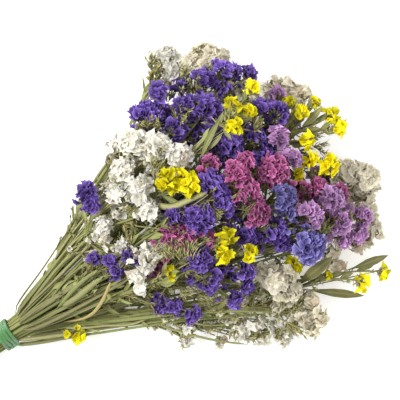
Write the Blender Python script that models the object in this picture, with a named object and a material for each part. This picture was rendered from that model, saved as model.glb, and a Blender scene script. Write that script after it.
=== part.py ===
"""A bunch of dried statice in mixed colours, held by a soft green band and lying on its side.

The stems lie along X, with their cut ends towards -X and their flower heads towards +X.
Z points up from the table, and the origin is under the middle of the bunch.
Every statice stem forks into sprays, and every spray is a few stalks that each swell into
one domed flower head. Heads that grow on the same fork are one solid.
All sizes are in millimetres until a mesh is made.
"""

import math
from dataclasses import dataclass, field

import bmesh
import bpy
import numpy as np
from mathutils import Matrix, Vector

METRES = 0.001

# Stems
STEM_REACH = 2.9  # radius to the edges of a stem's dried wings
STEM_SIDES = 6
STEM_TAPER = 0.3  # how much thinner a stem is at its far end
STEM_STATIONS = (25.0, 45.0, 78.0)  # places after the band where a stem has a ring
LAST_RUN = 15.0  # and this much at least runs from the last of them to its end
GRIP_RING = 0.45  # a ring this share of the way to the cut end
STEM_SAMPLE = 4.0  # spacing of the places where a stem's room is measured
CUT_LENGTH = 82.0  # from the band to the cut ends
CUT_STAGGER = 13.0  # how much the cut ends differ
CUT_TURN = 2.4  # angle from one stem to the next that mixes long and short ends
STRAIGHT_HALF = 10.0  # the stems run parallel this far on both sides of the band's middle
FLARE_BEND = 26.0  # how softly the stems turn outwards after the band
BACK_FLARE = 0.3  # how much less the cut ends spread than the heads

# Band
BAND_WIDTH = 14.0
BAND_THICKNESS = 1.6
BAND_POINTS = 36
BAND_TURN = 0.02  # keeps every outline point between two of the directions the stems touch in

# Stalks and flower heads
STALK_RADIUS = 1.4
KNOT_RADIUS = 2.2
KNOT_WAIST = 1.95  # radius of a knot's two rings
STALK_FOOT = 0.2  # a stalk starts this share of the knot's radius from its middle
SEAT_EASE = 0.2  # extra room between a knot and the stem beside it
KNOT_SIDES = 6
HEAD_SIDES = 7
SMALL_HEAD = 9.5  # a head up to this radius has one side fewer
SHORT_STALK = 14.0  # a stalk up to this length has one ring fewer
STALK_ENTRY = 0.4  # how much of a stalk runs straight into its head
LEAST_HEAD = 3.5  # radius that no head is taken in below
SWAYS = 12  # directions in which a stalk may bow out of its neighbours' way
SWAY_REACHES = (0.0, 4.0, 8.0, 12.0, 17.0, 23.0, 30.0)  # how far it may bow
SWAY_COST = 0.004  # room that a bow must win for each millimetre of its reach
ROOM_ENOUGH = 0.6  # room beyond the gap that no bow is made for
STALK_SAMPLE = 2.5  # spacing of the places where a stalk's room is measured
FORK_ROOM = 12.0  # least distance from the end of a stem to the skin of its heads
FORK_BEHIND = 5.0  # least distance from a fork to its heads, along the stalks
FORK_SPREAD = 0.62  # distance from a fork to its heads, as a share of how far they spread
HEAD_MARGIN = 1.1  # how much larger than itself a head counts when forks are placed
FORK_SHIFTS = (0.0, -6.0, -12.0, -18.0, -26.0, -36.0)  # tries for a side fork, along its stem
FORK_TURNS = (0.0, 0.35, -0.35, 0.7, -0.7, 1.1, -1.1)  # and round its stem
FIRST_SIDE_FORK = 24.0  # side forks start this far past the band
LAST_SIDE_FORK = 8.0  # and end this far before the stem's end
SIDE_ROOM_ENOUGH = 1.2
TURN_COST = 0.2
SHIFT_COST = 0.004
CLEAR = 0.35  # gap between pieces that touch
STEM_PITCH = 2 * STEM_REACH * math.cos(math.pi / STEM_SIDES) + CLEAR  # spacing inside the band
FLAT_ENOUGH = math.radians(2.0)  # faces that turn less than this become one where heads meet
SEAT = 0.86  # a head that lies on the table sinks until its middle is this share of its radius up

# The way a head looks: these shares of "on from its fork" and "out of the bunch"
FACE_ONWARD = 0.62
FACE_OUTWARD = 0.38
OUT_ALONG = 0.25
OUT_UP = 1.5
OUT_LEVEL = 0.42  # share of the bunch's thickness where heads look neither up nor down

# Leaves
LEAF_THICKNESS = 1.1
LEAF_ARCH = 7.0  # how far a leaf's middle line bows up
LEAF_STANDOFF = 0.3  # extra room between a leaf's foot and its stalk
LEAF_OUTLINE = ((0.0, 0.16), (0.18, 0.22), (0.42, 0.8), (0.66, 1.0), (0.87, 0.6))

# Shape of the whole bunch as it lies
LEAN = math.radians(32.0)  # from "right" to the bunch's axis, in the reading below
CROWN_HEIGHT = 124.0  # thickest place of the bunch
CROWN_HALF_WIDTH = 185.0
CROWN_EDGE = 46.0  # thickness at its edges
CROWN_START = 36.0  # thickness at the band
CROWN_SWELL = 210.0  # the thickest place is this far from the band
CROWN_ROUNDING = 0.9
CROWN_TAPER = 0.35  # share of the thickness that is lost
CROWN_TAPER_START = 300.0  # from here
CROWN_TAPER_LENGTH = 110.0  # over this length

# How heads and stems push each other clear
SETTLE_STEPS = 240
AIM_EVERY = 20  # steps between two aims of the stems
HEAD_GIVE = (0.3, 0.3, 1.0)  # heads move mostly up and down
HEAD_PUSH = 0.35
STEM_PUSH = 0.5
DRIFT_HOME = 0.02

# One flower head's outline, from its stalk to its top: distance from its middle along the
# stalk and radius, both as shares of the head's own radius
HEAD_OUTLINE = ((-0.93, 0.18), (-0.35, 0.78), (0.15, 0.96), (0.68, 0.62))
SMALL_OUTLINE = ((-0.93, 0.2), (-0.2, 0.9), (0.55, 0.74))
HEAD_TOP = 0.92


@dataclass
class Head:
    """One domed flower head.

    right and up are read on the lying bunch from the band. lift is 0 on the table and 1 on top.
    """

    right: float
    up: float
    lift: float
    radius: float
    centre: np.ndarray = None
    home: np.ndarray = None
    stalk: list = None


@dataclass
class Spray:
    """Heads that grow from one fork.

    The first spray of a stem grows from its tip, and the others from its side.
    """

    heads: list
    fork: np.ndarray = None
    name: str = ""


@dataclass
class Stem:
    """One cut stem of one colour.

    end_at is where it ends, read like a head, if that isn't worked out from its heads.
    """

    colour: str
    sprays: list
    end_at: tuple = None
    slot: np.ndarray = None
    slope: np.ndarray = None
    tip: float = 0.0
    name: str = ""
    cut: float = field(default=-CUT_LENGTH)


@dataclass
class Leaf:
    """One dried leaf. stalk and share say where on the last stem's first spray it grows."""

    stalk: int
    share: float
    right: float
    up: float
    lift: float
    half_width: float


def stem(colour, *sprays, end_at=None):
    return Stem(colour, [Spray([Head(*row) for row in rows]) for rows in sprays], end_at)


# The flower heads as they lie: millimetres right and up from the band, lift, and radius
STEMS = [
    stem(
        "white",
        [(131, 194, 0.95, 16), (155, 192, 0.95, 15), (178, 181, 0.92, 13), (152, 176, 0.4, 14)],
        [
            (122, 170, 0.9, 13),
            (137, 150, 0.95, 13),
            (112, 142, 0.8, 9),
            (147, 127, 0.9, 12),
            (128, 152, 0.3, 12),
        ],
        [(102, 113, 0.95, 9), (121, 93, 0.9, 7), (143, 88, 0.85, 9), (132, 66, 0.85, 9)],
    ),
    stem("white", [(164, 285, 0.35, 14), (171, 261, 0.3, 11)]),
    stem(
        "white",
        [(283, 0, 0.3, 9), (243, 6, 0.3, 9), (186, 8, 0.35, 7), (181, -4, 0.2, 6)],
        end_at=(146, 25, 0.2),
    ),
    stem(
        "cream",
        [(194, 277, 0.3, 13), (216, 282, 0.35, 13), (234, 251, 0.2, 12)],
        [(270, 246, 0.3, 11), (292, 243, 0.35, 15)],
    ),
    stem(
        "cream",
        [
            (346, 166, 0.35, 14),
            (368, 160, 0.4, 13),
            (361, 144, 0.3, 11),
            (370, 112, 0.3, 12),
            (331, 78, 0.2, 11),
        ],
    ),
    stem(
        "cream",
        [
            (273, 58, 0.75, 16),
            (291, 46, 0.6, 12),
            (254, 64, 0.5, 9),
            (309, 36, 0.5, 10),
            (306, 18, 0.4, 13),
        ],
    ),
    stem(
        "purple",
        [(156, 244, 0.75, 11), (142, 221, 0.8, 14), (173, 208, 0.75, 10), (160, 224, 0.25, 11)],
        [(84, 146, 0.9, 9), (90, 134, 0.9, 8)],
    ),
    stem(
        "purple",
        [
            (199, 256, 0.7, 13),
            (224, 264, 0.7, 14),
            (246, 265, 0.65, 8),
            (180, 227, 0.8, 12),
            (204, 227, 0.8, 14),
        ],
        [(205, 232, 0.0, 15), (232, 218, 0.0, 14), (184, 206, 0.0, 12)],
    ),
    stem(
        "purple",
        [
            (228, 190, 0.75, 13),
            (253, 198, 0.75, 12),
            (212, 206, 0.7, 11),
            (236, 206, 0.3, 12),
            (216, 174, 0.35, 12),
        ],
    ),
    stem(
        "purple",
        [
            (274, 223, 0.8, 12),
            (256, 229, 0.75, 9),
            (262, 180, 0.7, 11),
            (270, 202, 0.3, 12),
            (288, 215, 0.25, 10),
        ],
    ),
    stem(
        "purple",
        [
            (210, 153, 0.95, 14),
            (218, 132, 0.95, 12),
            (195, 117, 1.0, 14),
            (173, 119, 0.85, 10),
            (188, 138, 0.35, 12),
        ],
        [(92, 79, 0.95, 6), (108, 77, 0.95, 6), (114, 66, 0.95, 7), (126, 82, 0.95, 6), (137, 78, 0.9, 5)],
    ),
    stem(
        "purple",
        [(243, 100, 0.85, 10), (267, 110, 0.85, 11), (278, 98, 0.8, 10), (260, 125, 0.35, 11)],
        [
            (197, 80, 0.95, 12),
            (207, 59, 0.9, 12),
            (242, 70, 0.9, 9),
            (243, 53, 0.85, 8),
            (231, 40, 0.8, 8),
            (222, 66, 0.35, 10),
        ],
        [(155, 29, 0.6, 7), (172, 31, 0.6, 7), (189, 25, 0.6, 9)],
    ),
    stem("blue", [(278, 143, 0.95, 13), (283, 124, 0.85, 9), (304, 93, 0.9, 17), (292, 112, 0.3, 11)]),
    stem(
        "pink",
        [
            (232, 163, 1.0, 13),
            (243, 177, 0.95, 8),
            (247, 149, 0.95, 9),
            (252, 126, 1.0, 14),
            (209, 174, 0.85, 8),
        ],
        [(250, 158, 0.0, 15), (272, 182, 0.0, 14), (226, 142, 0.0, 12)],
    ),
    stem("pink", [(314, 152, 0.75, 9), (337, 146, 0.7, 9), (271, 165, 0.95, 14), (294, 152, 0.4, 11)]),
    stem("pink", [(171, 98, 0.95, 8), (187, 98, 0.95, 9), (152, 70, 0.7, 9), (182, 84, 0.5, 9)]),
    stem(
        "lavender",
        [
            (306, 124, 0.95, 13),
            (328, 138, 0.95, 12),
            (336, 116, 0.9, 12),
            (359, 122, 0.8, 11),
            (355, 104, 0.75, 10),
            (340, 99, 0.75, 9),
            (343, 126, 0.3, 11),
        ],
        [(276, 200, 0.85, 11), (286, 178, 0.85, 10), (277, 243, 0.6, 8)],
        [(300, 140, 0.0, 15), (324, 160, 0.0, 14), (314, 112, 0.0, 12)],
    ),
    stem(
        "yellow",
        [(230, 230, 1.0, 9), (245, 224, 1.0, 7), (231, 209, 1.0, 8), (249, 247, 0.9, 7)],
        [(165, 157, 1.0, 12), (185, 153, 1.0, 11)],
    ),
    stem(
        "yellow",
        [
            (329, 222, 0.7, 9),
            (336, 210, 0.7, 8),
            (314, 235, 0.6, 6),
            (297, 226, 0.7, 8),
            (285, 237, 0.6, 6),
        ],
        [(303, 198, 0.75, 8), (308, 179, 0.8, 8), (325, 175, 0.8, 10), (296, 164, 0.7, 6)],
    ),
    stem(
        "yellow",
        [(223, 101, 1.0, 9), (244, 87, 1.0, 8), (220, 82, 1.0, 8), (167, 67, 0.9, 6), (205, 98, 0.45, 9)],
    ),
    stem(
        "yellow",
        [(360, 56, 0.6, 9), (383, 65, 0.6, 7), (326, 62, 0.5, 5), (291, 73, 0.6, 7)],
        [(75, 1, 0.3, 7)],
    ),
]

# The leaves that stand clear of the flowers, all on the last yellow stem: which stalk they
# grow on, how far along it from 0 to 1, the tip (right, up, lift), and the blade's half width
LEAVES = [
    Leaf(1, 0.62, 389, 82, 0.62, 4.2),
    Leaf(0, 0.12, 366, 40, 0.3, 4.4),
    Leaf(2, 0.1, 330, 82, 0.9, 6.0),
]

# Colour, roughness and metallic value of each material
FINISHES = {
    "white": ((0.80, 0.78, 0.70), 0.8),
    "cream": ((0.66, 0.60, 0.46), 0.8),
    "purple": ((0.13, 0.06, 0.45), 0.75),
    "blue": ((0.16, 0.15, 0.50), 0.75),
    "pink": ((0.62, 0.12, 0.33), 0.75),
    "lavender": ((0.42, 0.20, 0.52), 0.75),
    "yellow": ((0.85, 0.72, 0.02), 0.7),
    "stem": ((0.22, 0.22, 0.08), 0.8),
    "leaf": ((0.18, 0.19, 0.06), 0.75),
    "band": ((0.12, 0.33, 0.12), 0.55),
}


def clear_scene():
    for thing in list(bpy.data.objects):
        bpy.data.objects.remove(thing, do_unlink=True)


def finish(name):
    """The Principled material of one finish, made once."""
    found = bpy.data.materials.get(name)
    if found:
        return found
    colour, roughness = FINISHES[name]
    made = bpy.data.materials.new(name)
    made.use_nodes = True
    shader = made.node_tree.nodes["Principled BSDF"]
    shader.inputs["Base Color"].default_value = (*colour, 1.0)
    shader.inputs["Roughness"].default_value = roughness
    shader.inputs["Metallic"].default_value = 0.0
    made.diffuse_color = (*colour, 1.0)
    return made


# Layout of the bunch


def along_and_across(right, up):
    """A reading on the lying bunch, turned so that the stems run along X."""
    c, s = math.cos(LEAN), math.sin(LEAN)
    return right * c + up * s, up * c - right * s


def crown_height(along, across):
    """Thickness of the bunch at a place, as it lies on the table."""
    swell = min(1.0, max(0.0, along / CROWN_SWELL)) ** CROWN_ROUNDING
    taper = 1.0 - CROWN_TAPER * max(0.0, (along - CROWN_TAPER_START) / CROWN_TAPER_LENGTH)
    full = CROWN_START + (CROWN_HEIGHT * taper - CROWN_START) * swell
    side = max(0.0, 1.0 - (across / CROWN_HALF_WIDTH) ** 2)
    return max(min(CROWN_EDGE, full), full * math.sqrt(side))


def place_of(right, up, lift):
    """A place that is read on the lying bunch, at a share of its thickness there."""
    along, across = along_and_across(right, up)
    return np.array([along, across, crown_height(along, across) * lift])


def flare(along):
    """How far a stem has turned outwards from its place in the band, for a slope of one."""
    past = max(0.0, abs(along) - STRAIGHT_HALF)
    spread = math.hypot(past, FLARE_BEND) - FLARE_BEND
    return spread if along > 0 else BACK_FLARE * spread


def band_slots(count):
    """Places of the stems in the band, closely packed, nearest the middle first.

    One row lies flat on the table side.
    """
    row = STEM_PITCH * math.sqrt(0.75)
    grid = [
        np.array([(i + 0.5 * (j % 2)) * STEM_PITCH, (j - 0.3) * row])
        for i in range(-5, 6)
        for j in range(-5, 6)
    ]
    return sorted(grid, key=lambda p: (round(float(p @ p), 3), p[1], p[0]))[:count]


def band_middle_height(slots):
    """The height of the band's middle with its lowest side on the table."""
    return STEM_REACH + CLEAR + BAND_THICKNESS - min(p[1] for p in slots)


def stem_point(one, along):
    """The middle of a stem at a distance along the bunch."""
    across, height = one.slot + flare(along) * one.slope
    return np.array([along, across, height])


def thinning(one, along):
    """How thick a stem is at a place, as a share of its thickness in the band."""
    return 1.0 - STEM_TAPER * max(0.0, along) / one.tip


def bark_reach(one, along, side):
    """How far a stem's skin lies from its middle on one side, square to X."""
    turn = 2 * math.pi / STEM_SIDES
    off_flat = (math.atan2(side[1], side[0]) + turn / 2) % turn - turn / 2
    return STEM_REACH * thinning(one, along) * math.cos(turn / 2) / math.cos(off_flat)


def place_heads(stems):
    """Sets each head where it is read, at the height its lift gives."""
    for one in stems:
        for spray in one.sprays:
            for head in spray.heads:
                along, across = along_and_across(head.right, head.up)
                low = SEAT * head.radius
                high = max(low, crown_height(along, across) - head.radius)
                head.home = np.array([along, across, low + (high - low) * head.lift])
                head.centre = head.home.copy()


def fork_of(spray, start):
    """Where a spray's stalks part: short of its heads, on the way to them from start."""
    centres = np.array([head.centre for head in spray.heads])
    radii = np.array([head.radius for head in spray.heads])
    middle = centres.mean(axis=0)
    spread = np.linalg.norm(centres - middle, axis=1).max()
    way = (middle - start) / np.linalg.norm(middle - start)
    behind = ((middle - centres) @ way + HEAD_MARGIN * radii).max()
    back = FORK_SPREAD * spread + HEAD_MARGIN * radii.max()
    return middle - way * (max(behind, back) + FORK_BEHIND)


def aim_stems(stems, slots):
    """Gives each stem its tip, slot and slope.

    Swapping slots until no two stems are drawn together keeps every pair at least one pitch
    apart all the way.
    """
    middle = np.array([0.0, 0.0, band_middle_height(slots)])
    for one in stems:
        one.sprays[0].fork = place_of(*one.end_at) if one.end_at else fork_of(one.sprays[0], middle)
        one.tip = one.sprays[0].fork[0]
    if stems[0].slot is None:
        for one, slot in zip(stems, slots):
            one.slot = slot + middle[1:]
    swapped = True
    while swapped:
        swapped = False
        for one in stems:
            one.slope = (one.sprays[0].fork[1:] - middle[1:]) / flare(one.tip)
        for i, one in enumerate(stems):
            for other in stems[:i]:
                if (one.slot - other.slot) @ (one.slope - other.slope) < -1e-9:
                    one.slot, other.slot = other.slot, one.slot
                    swapped = True


def side_fork(one, station, side):
    """A fork just clear of the stem's bark, on one side of it."""
    lean = (stem_point(one, station + 1.0) - stem_point(one, station - 1.0))[1:] @ side / 2
    beside = bark_reach(one, station, side) + (KNOT_RADIUS + CLEAR + SEAT_EASE) * math.hypot(1.0, lean)
    return stem_point(one, station) + np.array([0.0, *side]) * beside


def seat_sprays(stems):
    """Gives each spray its fork: the first one past its stem's end, the others beside the stem."""
    bark = stem_samples(stems)
    balls = [(*head.centre, head.radius) for one in stems for s in one.sprays for head in s.heads]
    for number, one in enumerate(stems):
        one.sprays[0].fork = end_fork(one)
        others = bark[bark[:, 3] != number][:, :3]
        hard = np.vstack([np.insert(others, 3, STEM_REACH, axis=1), balls])
        for spray in one.sprays[1:]:
            spray.fork = roomiest_side_fork(one, spray, hard)


def end_fork(one):
    """The fork past a stem's end, after the end is drawn back until its heads leave it room."""
    heads = one.sprays[0].heads
    while min(np.linalg.norm(h.centre - stem_point(one, one.tip)) - h.radius for h in heads) < FORK_ROOM:
        one.tip -= 2.0
    tip = stem_point(one, one.tip)
    onward = tip - stem_point(one, one.tip - 4.0)
    onward /= np.linalg.norm(onward)
    fork = tip + onward * (KNOT_RADIUS + CLEAR)
    fork[0] = max(fork[0], one.tip + KNOT_RADIUS + CLEAR)
    return fork


def roomiest_side_fork(one, spray, hard):
    """The fork beside a stem where the hard things, rows of place and radius, leave most room."""
    wanted = fork_of(spray, stem_point(one, 0.0))[0]
    middle = np.mean([head.centre for head in spray.heads], axis=0)
    best = None
    for shift in FORK_SHIFTS:
        station = min(max(wanted + shift, FIRST_SIDE_FORK), one.tip - LAST_SIDE_FORK)
        look = (middle - stem_point(one, station))[1:]
        straight = math.atan2(look[1], look[0])
        for turn in FORK_TURNS:
            side = np.array([math.cos(straight + turn), math.sin(straight + turn)])
            fork = side_fork(one, station, side)
            room = (np.linalg.norm(hard[:, :3] - fork, axis=1) - hard[:, 3]).min() - KNOT_RADIUS
            score = min(room, SIDE_ROOM_ENOUGH) - TURN_COST * abs(turn) + SHIFT_COST * shift
            if best is None or score > best[0]:
                best = (score, fork)
    return best[1]


def facing(head, fork):
    """The way a head looks: on from its fork, and out of the bunch."""
    onward = (head.centre - fork) / np.linalg.norm(head.centre - fork)
    lift = head.centre[2] / crown_height(*head.centre[:2])
    outward = np.array([OUT_ALONG, head.centre[1] / CROWN_HALF_WIDTH, OUT_UP * (lift - OUT_LEVEL)])
    outward /= np.linalg.norm(outward)
    look = FACE_ONWARD * onward + FACE_OUTWARD * outward
    return look / np.linalg.norm(look)


def bezier(start, control, end, t):
    return (1 - t) ** 2 * start + 2 * t * (1 - t) * control + t**2 * end


def stalk_points(head, fork, sway):
    """The places of a stalk's rings from its fork to the head, bowed sideways by sway."""
    look = facing(head, fork)
    length = np.linalg.norm(head.centre - fork)
    end = head.centre + look * HEAD_OUTLINE[0][0] * head.radius
    control = end - look * STALK_ENTRY * (length - head.radius) + sway
    parts = 3 if length - head.radius > SHORT_STALK else 2
    return [bezier(fork, control, end, k / parts) for k in range(parts + 1)]


def dense(points, spacing=STALK_SAMPLE):
    """Points at most a spacing apart along straight pieces."""
    line = [points[0]]
    for before, after in zip(points, points[1:]):
        count = max(1, math.ceil(np.linalg.norm(after - before) / spacing))
        line += [before + (after - before) * k / count for k in range(1, count + 1)]
    return np.array(line)


def stem_samples(stems):
    """Points down the middle of every stem, each with the number of the stem."""
    rows = [
        (*stem_point(one, x), number)
        for number, one in enumerate(stems)
        for x in np.arange(0.0, one.tip, STEM_SAMPLE)
    ]
    return np.array(rows)


def settle(stems, slots):
    """Lets heads push each other and the stems' way clear, and drift back to where they are read."""
    sprays = [spray for one in stems for spray in one.sprays]
    heads = [head for spray in sprays for head in spray.heads]
    group = np.array([number for number, spray in enumerate(sprays) for _ in spray.heads])
    radius = np.array([h.radius for h in heads])
    home = np.array([h.home for h in heads])
    centre = home.copy()
    apart = group[:, None] != group[None, :]
    for step in range(SETTLE_STEPS):
        if step % AIM_EVERY == 0:
            for head, place in zip(heads, centre):
                head.centre = place.copy()
            aim_stems(stems, slots)
            line = stem_samples(stems)[:, :3]
        way = centre[:, None] - centre[None, :]
        far = np.linalg.norm(way, axis=2) + 1e-6
        short = np.where(apart, radius[:, None] + radius[None, :] + CLEAR - far, 0.0)
        push = (way / far[..., None] * np.maximum(short, 0.0)[..., None]).sum(axis=1) * HEAD_PUSH
        way = centre[:, None] - line[None, :]
        far = np.linalg.norm(way, axis=2) + 1e-6
        short = np.maximum(radius[:, None] + STEM_REACH + CLEAR - far, 0.0)
        near = short.argmax(axis=1)
        index = np.arange(len(heads))
        push += way[index, near] / far[index, near, None] * short[index, near, None] * STEM_PUSH
        centre += push * np.array(HEAD_GIVE) + DRIFT_HOME * (home - centre)
        centre[:, 2] = np.maximum(centre[:, 2], SEAT * radius)
    for head, place in zip(heads, centre):
        head.centre = place.copy()
    aim_stems(stems, slots)


def shrink_to_fit(stems):
    """Takes a head in where it still meets another spray's head or a stem."""
    line = stem_samples(stems)[:, :3]
    sprays = [spray for one in stems for spray in one.sprays]
    for spray in sprays:
        for head in spray.heads:
            room = np.linalg.norm(line - head.centre, axis=1).min() - STEM_REACH - CLEAR
            head.radius = max(LEAST_HEAD, min(head.radius, room))
    for i, spray in enumerate(sprays):
        for other in sprays[:i]:
            for a in spray.heads:
                for b in other.heads:
                    room = np.linalg.norm(a.centre - b.centre) - CLEAR
                    if room < a.radius + b.radius:
                        share = room / (a.radius + b.radius)
                        a.radius *= share
                        b.radius *= share


def bow_stalks(stems):
    """Bows each stalk the way that leaves it the most room, twice over."""
    bark = stem_samples(stems)
    tubes = np.insert(bark[:, :3], 3, STEM_REACH, axis=1)
    sprays = [spray for one in stems for spray in one.sprays]
    laid = {id(spray): {} for spray in sprays}
    for spray in sprays * 2:
        others = [other for other in sprays if other is not spray]
        hard = [tubes, [(*other.fork, KNOT_RADIUS) for other in others]]
        hard += [[(*head.centre, head.radius) for head in other.heads] for other in others]
        hard += [line for other in others for line in laid[id(other)].values()]
        hard = np.vstack(hard)
        for index, head in enumerate(spray.heads):
            head.stalk, line = roomiest_stalk(head, spray.fork, hard)
            laid[id(spray)][index] = np.insert(line[1:], 3, STALK_RADIUS, axis=1)


def roomiest_stalk(head, fork, hard):
    """A head's stalk, bowed clear of the hard things, and closely spaced places along it."""
    across = np.cross(head.centre - fork, (0.0, 0.0, 1.0))
    across /= np.linalg.norm(across)
    third = np.cross(across, head.centre - fork)
    third /= np.linalg.norm(third)
    best = None
    for reach in SWAY_REACHES:
        for turn in range(SWAYS if reach else 1):
            a = 2 * math.pi * turn / SWAYS
            sway = reach * (math.cos(a) * across + math.sin(a) * third)
            stalk = stalk_points(head, fork, sway)
            line = dense(stalk)
            gaps = np.linalg.norm(line[2:, None] - hard[None, :, :3], axis=2) - hard[:, 3]
            room = min(gaps.min() - STALK_RADIUS, CLEAR + ROOM_ENOUGH) - SWAY_COST * reach
            room = min(room, line[:, 2].min() - STALK_RADIUS)
            if best is None or room > best[0] + 1e-6:
                best = (room, stalk, line)
    return best[1:]


# Solids


def mesh_object(name, mesh, colour):
    """A finished piece in the scene, in metres."""
    mesh.transform(Matrix.Scale(METRES, 4))
    mesh.materials.append(finish(colour))
    mesh.shade_smooth()
    mesh.set_sharp_from_angle(angle=math.radians(40.0))
    made = bpy.data.objects.new(name, mesh)
    bpy.context.scene.collection.objects.link(made)
    return made


def skinned(rings, ends):
    """A closed tube through rings of points. An end is drawn to its point, or filled flat for None."""
    work = bmesh.new()
    loops = [[work.verts.new(p) for p in ring] for ring in rings]
    for low, high in zip(loops, loops[1:]):
        for i, corner in enumerate(low):
            after = (i + 1) % len(low)
            work.faces.new((corner, low[after], high[after], high[i]))
    for loop, end in ((loops[0][::-1], ends[0]), (loops[-1], ends[1])):
        if end is None:
            work.faces.new(loop)
            continue
        tip = work.verts.new(end)
        for i, corner in enumerate(loop):
            work.faces.new((corner, loop[(i + 1) % len(loop)], tip))
    work.normal_update()
    mesh = bpy.data.meshes.new("skin")
    work.to_mesh(mesh)
    work.free()
    return mesh


def stem_solid(one):
    """One cut stem, from its cut end through the band to its first fork."""
    back = one.cut
    stations = [back, back * GRIP_RING, -STRAIGHT_HALF, STRAIGHT_HALF]
    stations += [x for x in STEM_STATIONS if x < one.tip - LAST_RUN]
    stations.append(one.tip)
    rings = []
    for x in stations:
        middle = stem_point(one, x)
        reach = STEM_REACH * thinning(one, x)
        ring = []
        for k in range(STEM_SIDES):
            a = 2 * math.pi * (k + 0.5) / STEM_SIDES
            ring.append(middle + reach * np.array([0.0, math.cos(a), math.sin(a)]))
        rings.append(ring)
    return mesh_object(one.name, skinned(rings, (None, None)), "stem")


def rings_along(middles, ways, radii, sides):
    """Rings of points square to the ways, each turned as little as can be from the ring before it."""
    way = Vector(ways[0]).normalized()
    side = way.orthogonal().normalized()
    rings = []
    for middle, onward, radius in zip(middles, ways, radii):
        onward = Vector(onward).normalized()
        side.rotate(way.rotation_difference(onward))
        way = onward
        top = way.cross(side)
        ring = []
        for k in range(sides):
            a = 2 * math.pi * k / sides
            ring.append(Vector(middle) + (math.cos(a) * side + math.sin(a) * top) * float(radius))
        rings.append(ring)
    return rings


def stalked_head(head, fork):
    """A stalk that starts inside the knot at its fork and swells into a head."""
    look = Vector(facing(head, fork))
    points = [Vector(p) for p in head.stalk]
    first = (points[1] - points[0]).normalized()
    middles = [points[0] + first * STALK_FOOT * KNOT_RADIUS] + points[1:-1]
    ways = [first] + [after - before for before, after in zip(points, points[2:])]
    radii = [STALK_RADIUS] * len(middles)
    small = head.radius <= SMALL_HEAD
    for offset, share in SMALL_OUTLINE if small else HEAD_OUTLINE:
        middles.append(Vector(head.centre) + look * float(offset * head.radius))
        ways.append(look)
        radii.append(share * head.radius)
    top = Vector(head.centre) + look * float(HEAD_TOP * head.radius)
    return skinned(rings_along(middles, ways, radii, HEAD_SIDES - small), (None, top))


def knot(fork):
    """The thick place where stalks part."""
    middle = Vector(fork)
    onward = Vector((1.0, 0.0, 0.0))
    half = 0.5 * KNOT_RADIUS
    middles = [middle - onward * half, middle + onward * half]
    rings = rings_along(middles, [onward] * 2, [KNOT_WAIST] * 2, KNOT_SIDES)
    return skinned(rings, (middle - onward * KNOT_RADIUS, middle + onward * KNOT_RADIUS))


def spray_solid(spray, colour):
    """All heads of one fork, joined into one solid and pressed flat where it meets the table."""
    bodies = []
    for mesh in [knot(spray.fork)] + [stalked_head(head, spray.fork) for head in spray.heads]:
        body = bpy.data.objects.new(spray.name + "_stalk", mesh)
        bpy.context.scene.collection.objects.link(body)
        bodies.append(body)
    whole = bodies[0]
    for body in bodies[1:]:
        union = whole.modifiers.new("join", "BOOLEAN")
        union.operation = "UNION"
        union.solver = "EXACT"
        union.use_self = True
        union.object = body
    bpy.context.view_layer.update()
    evaluated = whole.evaluated_get(bpy.context.evaluated_depsgraph_get())
    mesh = bpy.data.meshes.new_from_object(evaluated)
    for body in bodies:
        bpy.data.objects.remove(body, do_unlink=True)
    work = bmesh.new()
    work.from_mesh(mesh)
    bmesh.ops.dissolve_limit(work, verts=work.verts, edges=work.edges, angle_limit=FLAT_ENOUGH)
    bmesh.ops.triangulate(work, faces=work.faces)
    for corner in work.verts:
        corner.co.z = max(corner.co.z, 0.0)
    work.to_mesh(mesh)
    work.free()
    return mesh_object(spray.name, mesh, colour)


def leaf_solid(leaf, spray, name):
    """A flat blade with a narrow foot, sharp edges and a full middle, clear of its stalk."""
    line = [np.array(p) for p in spray.heads[leaf.stalk].stalk]
    place = leaf.share * (len(line) - 1)
    low = int(place)
    root = line[low] + (place - low) * (line[low + 1] - line[low])
    tip = place_of(leaf.right, leaf.up, leaf.lift)
    away = tip - root
    run = line[low + 1] - line[low]
    off = away - run * (away @ run) / (run @ run)
    root = root + off / np.linalg.norm(off) * (STALK_RADIUS + CLEAR + 0.5 * LEAF_THICKNESS + LEAF_STANDOFF)
    bow = (root + tip) / 2 + np.array([0.0, 0.0, LEAF_ARCH])
    way = (tip - root) / np.linalg.norm(tip - root)
    side = np.cross(way, (0.0, 0.0, 1.0))
    side /= np.linalg.norm(side)
    top = np.cross(side, way)
    rings = []
    for share, width in LEAF_OUTLINE:
        middle = bezier(root, bow, tip, share)
        reach = side * leaf.half_width * width
        rise = top * LEAF_THICKNESS / 2
        rings.append([middle + reach, middle - rise, middle - reach, middle + rise])
    return mesh_object(name, skinned(rings, (None, tip)), "leaf")


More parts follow.
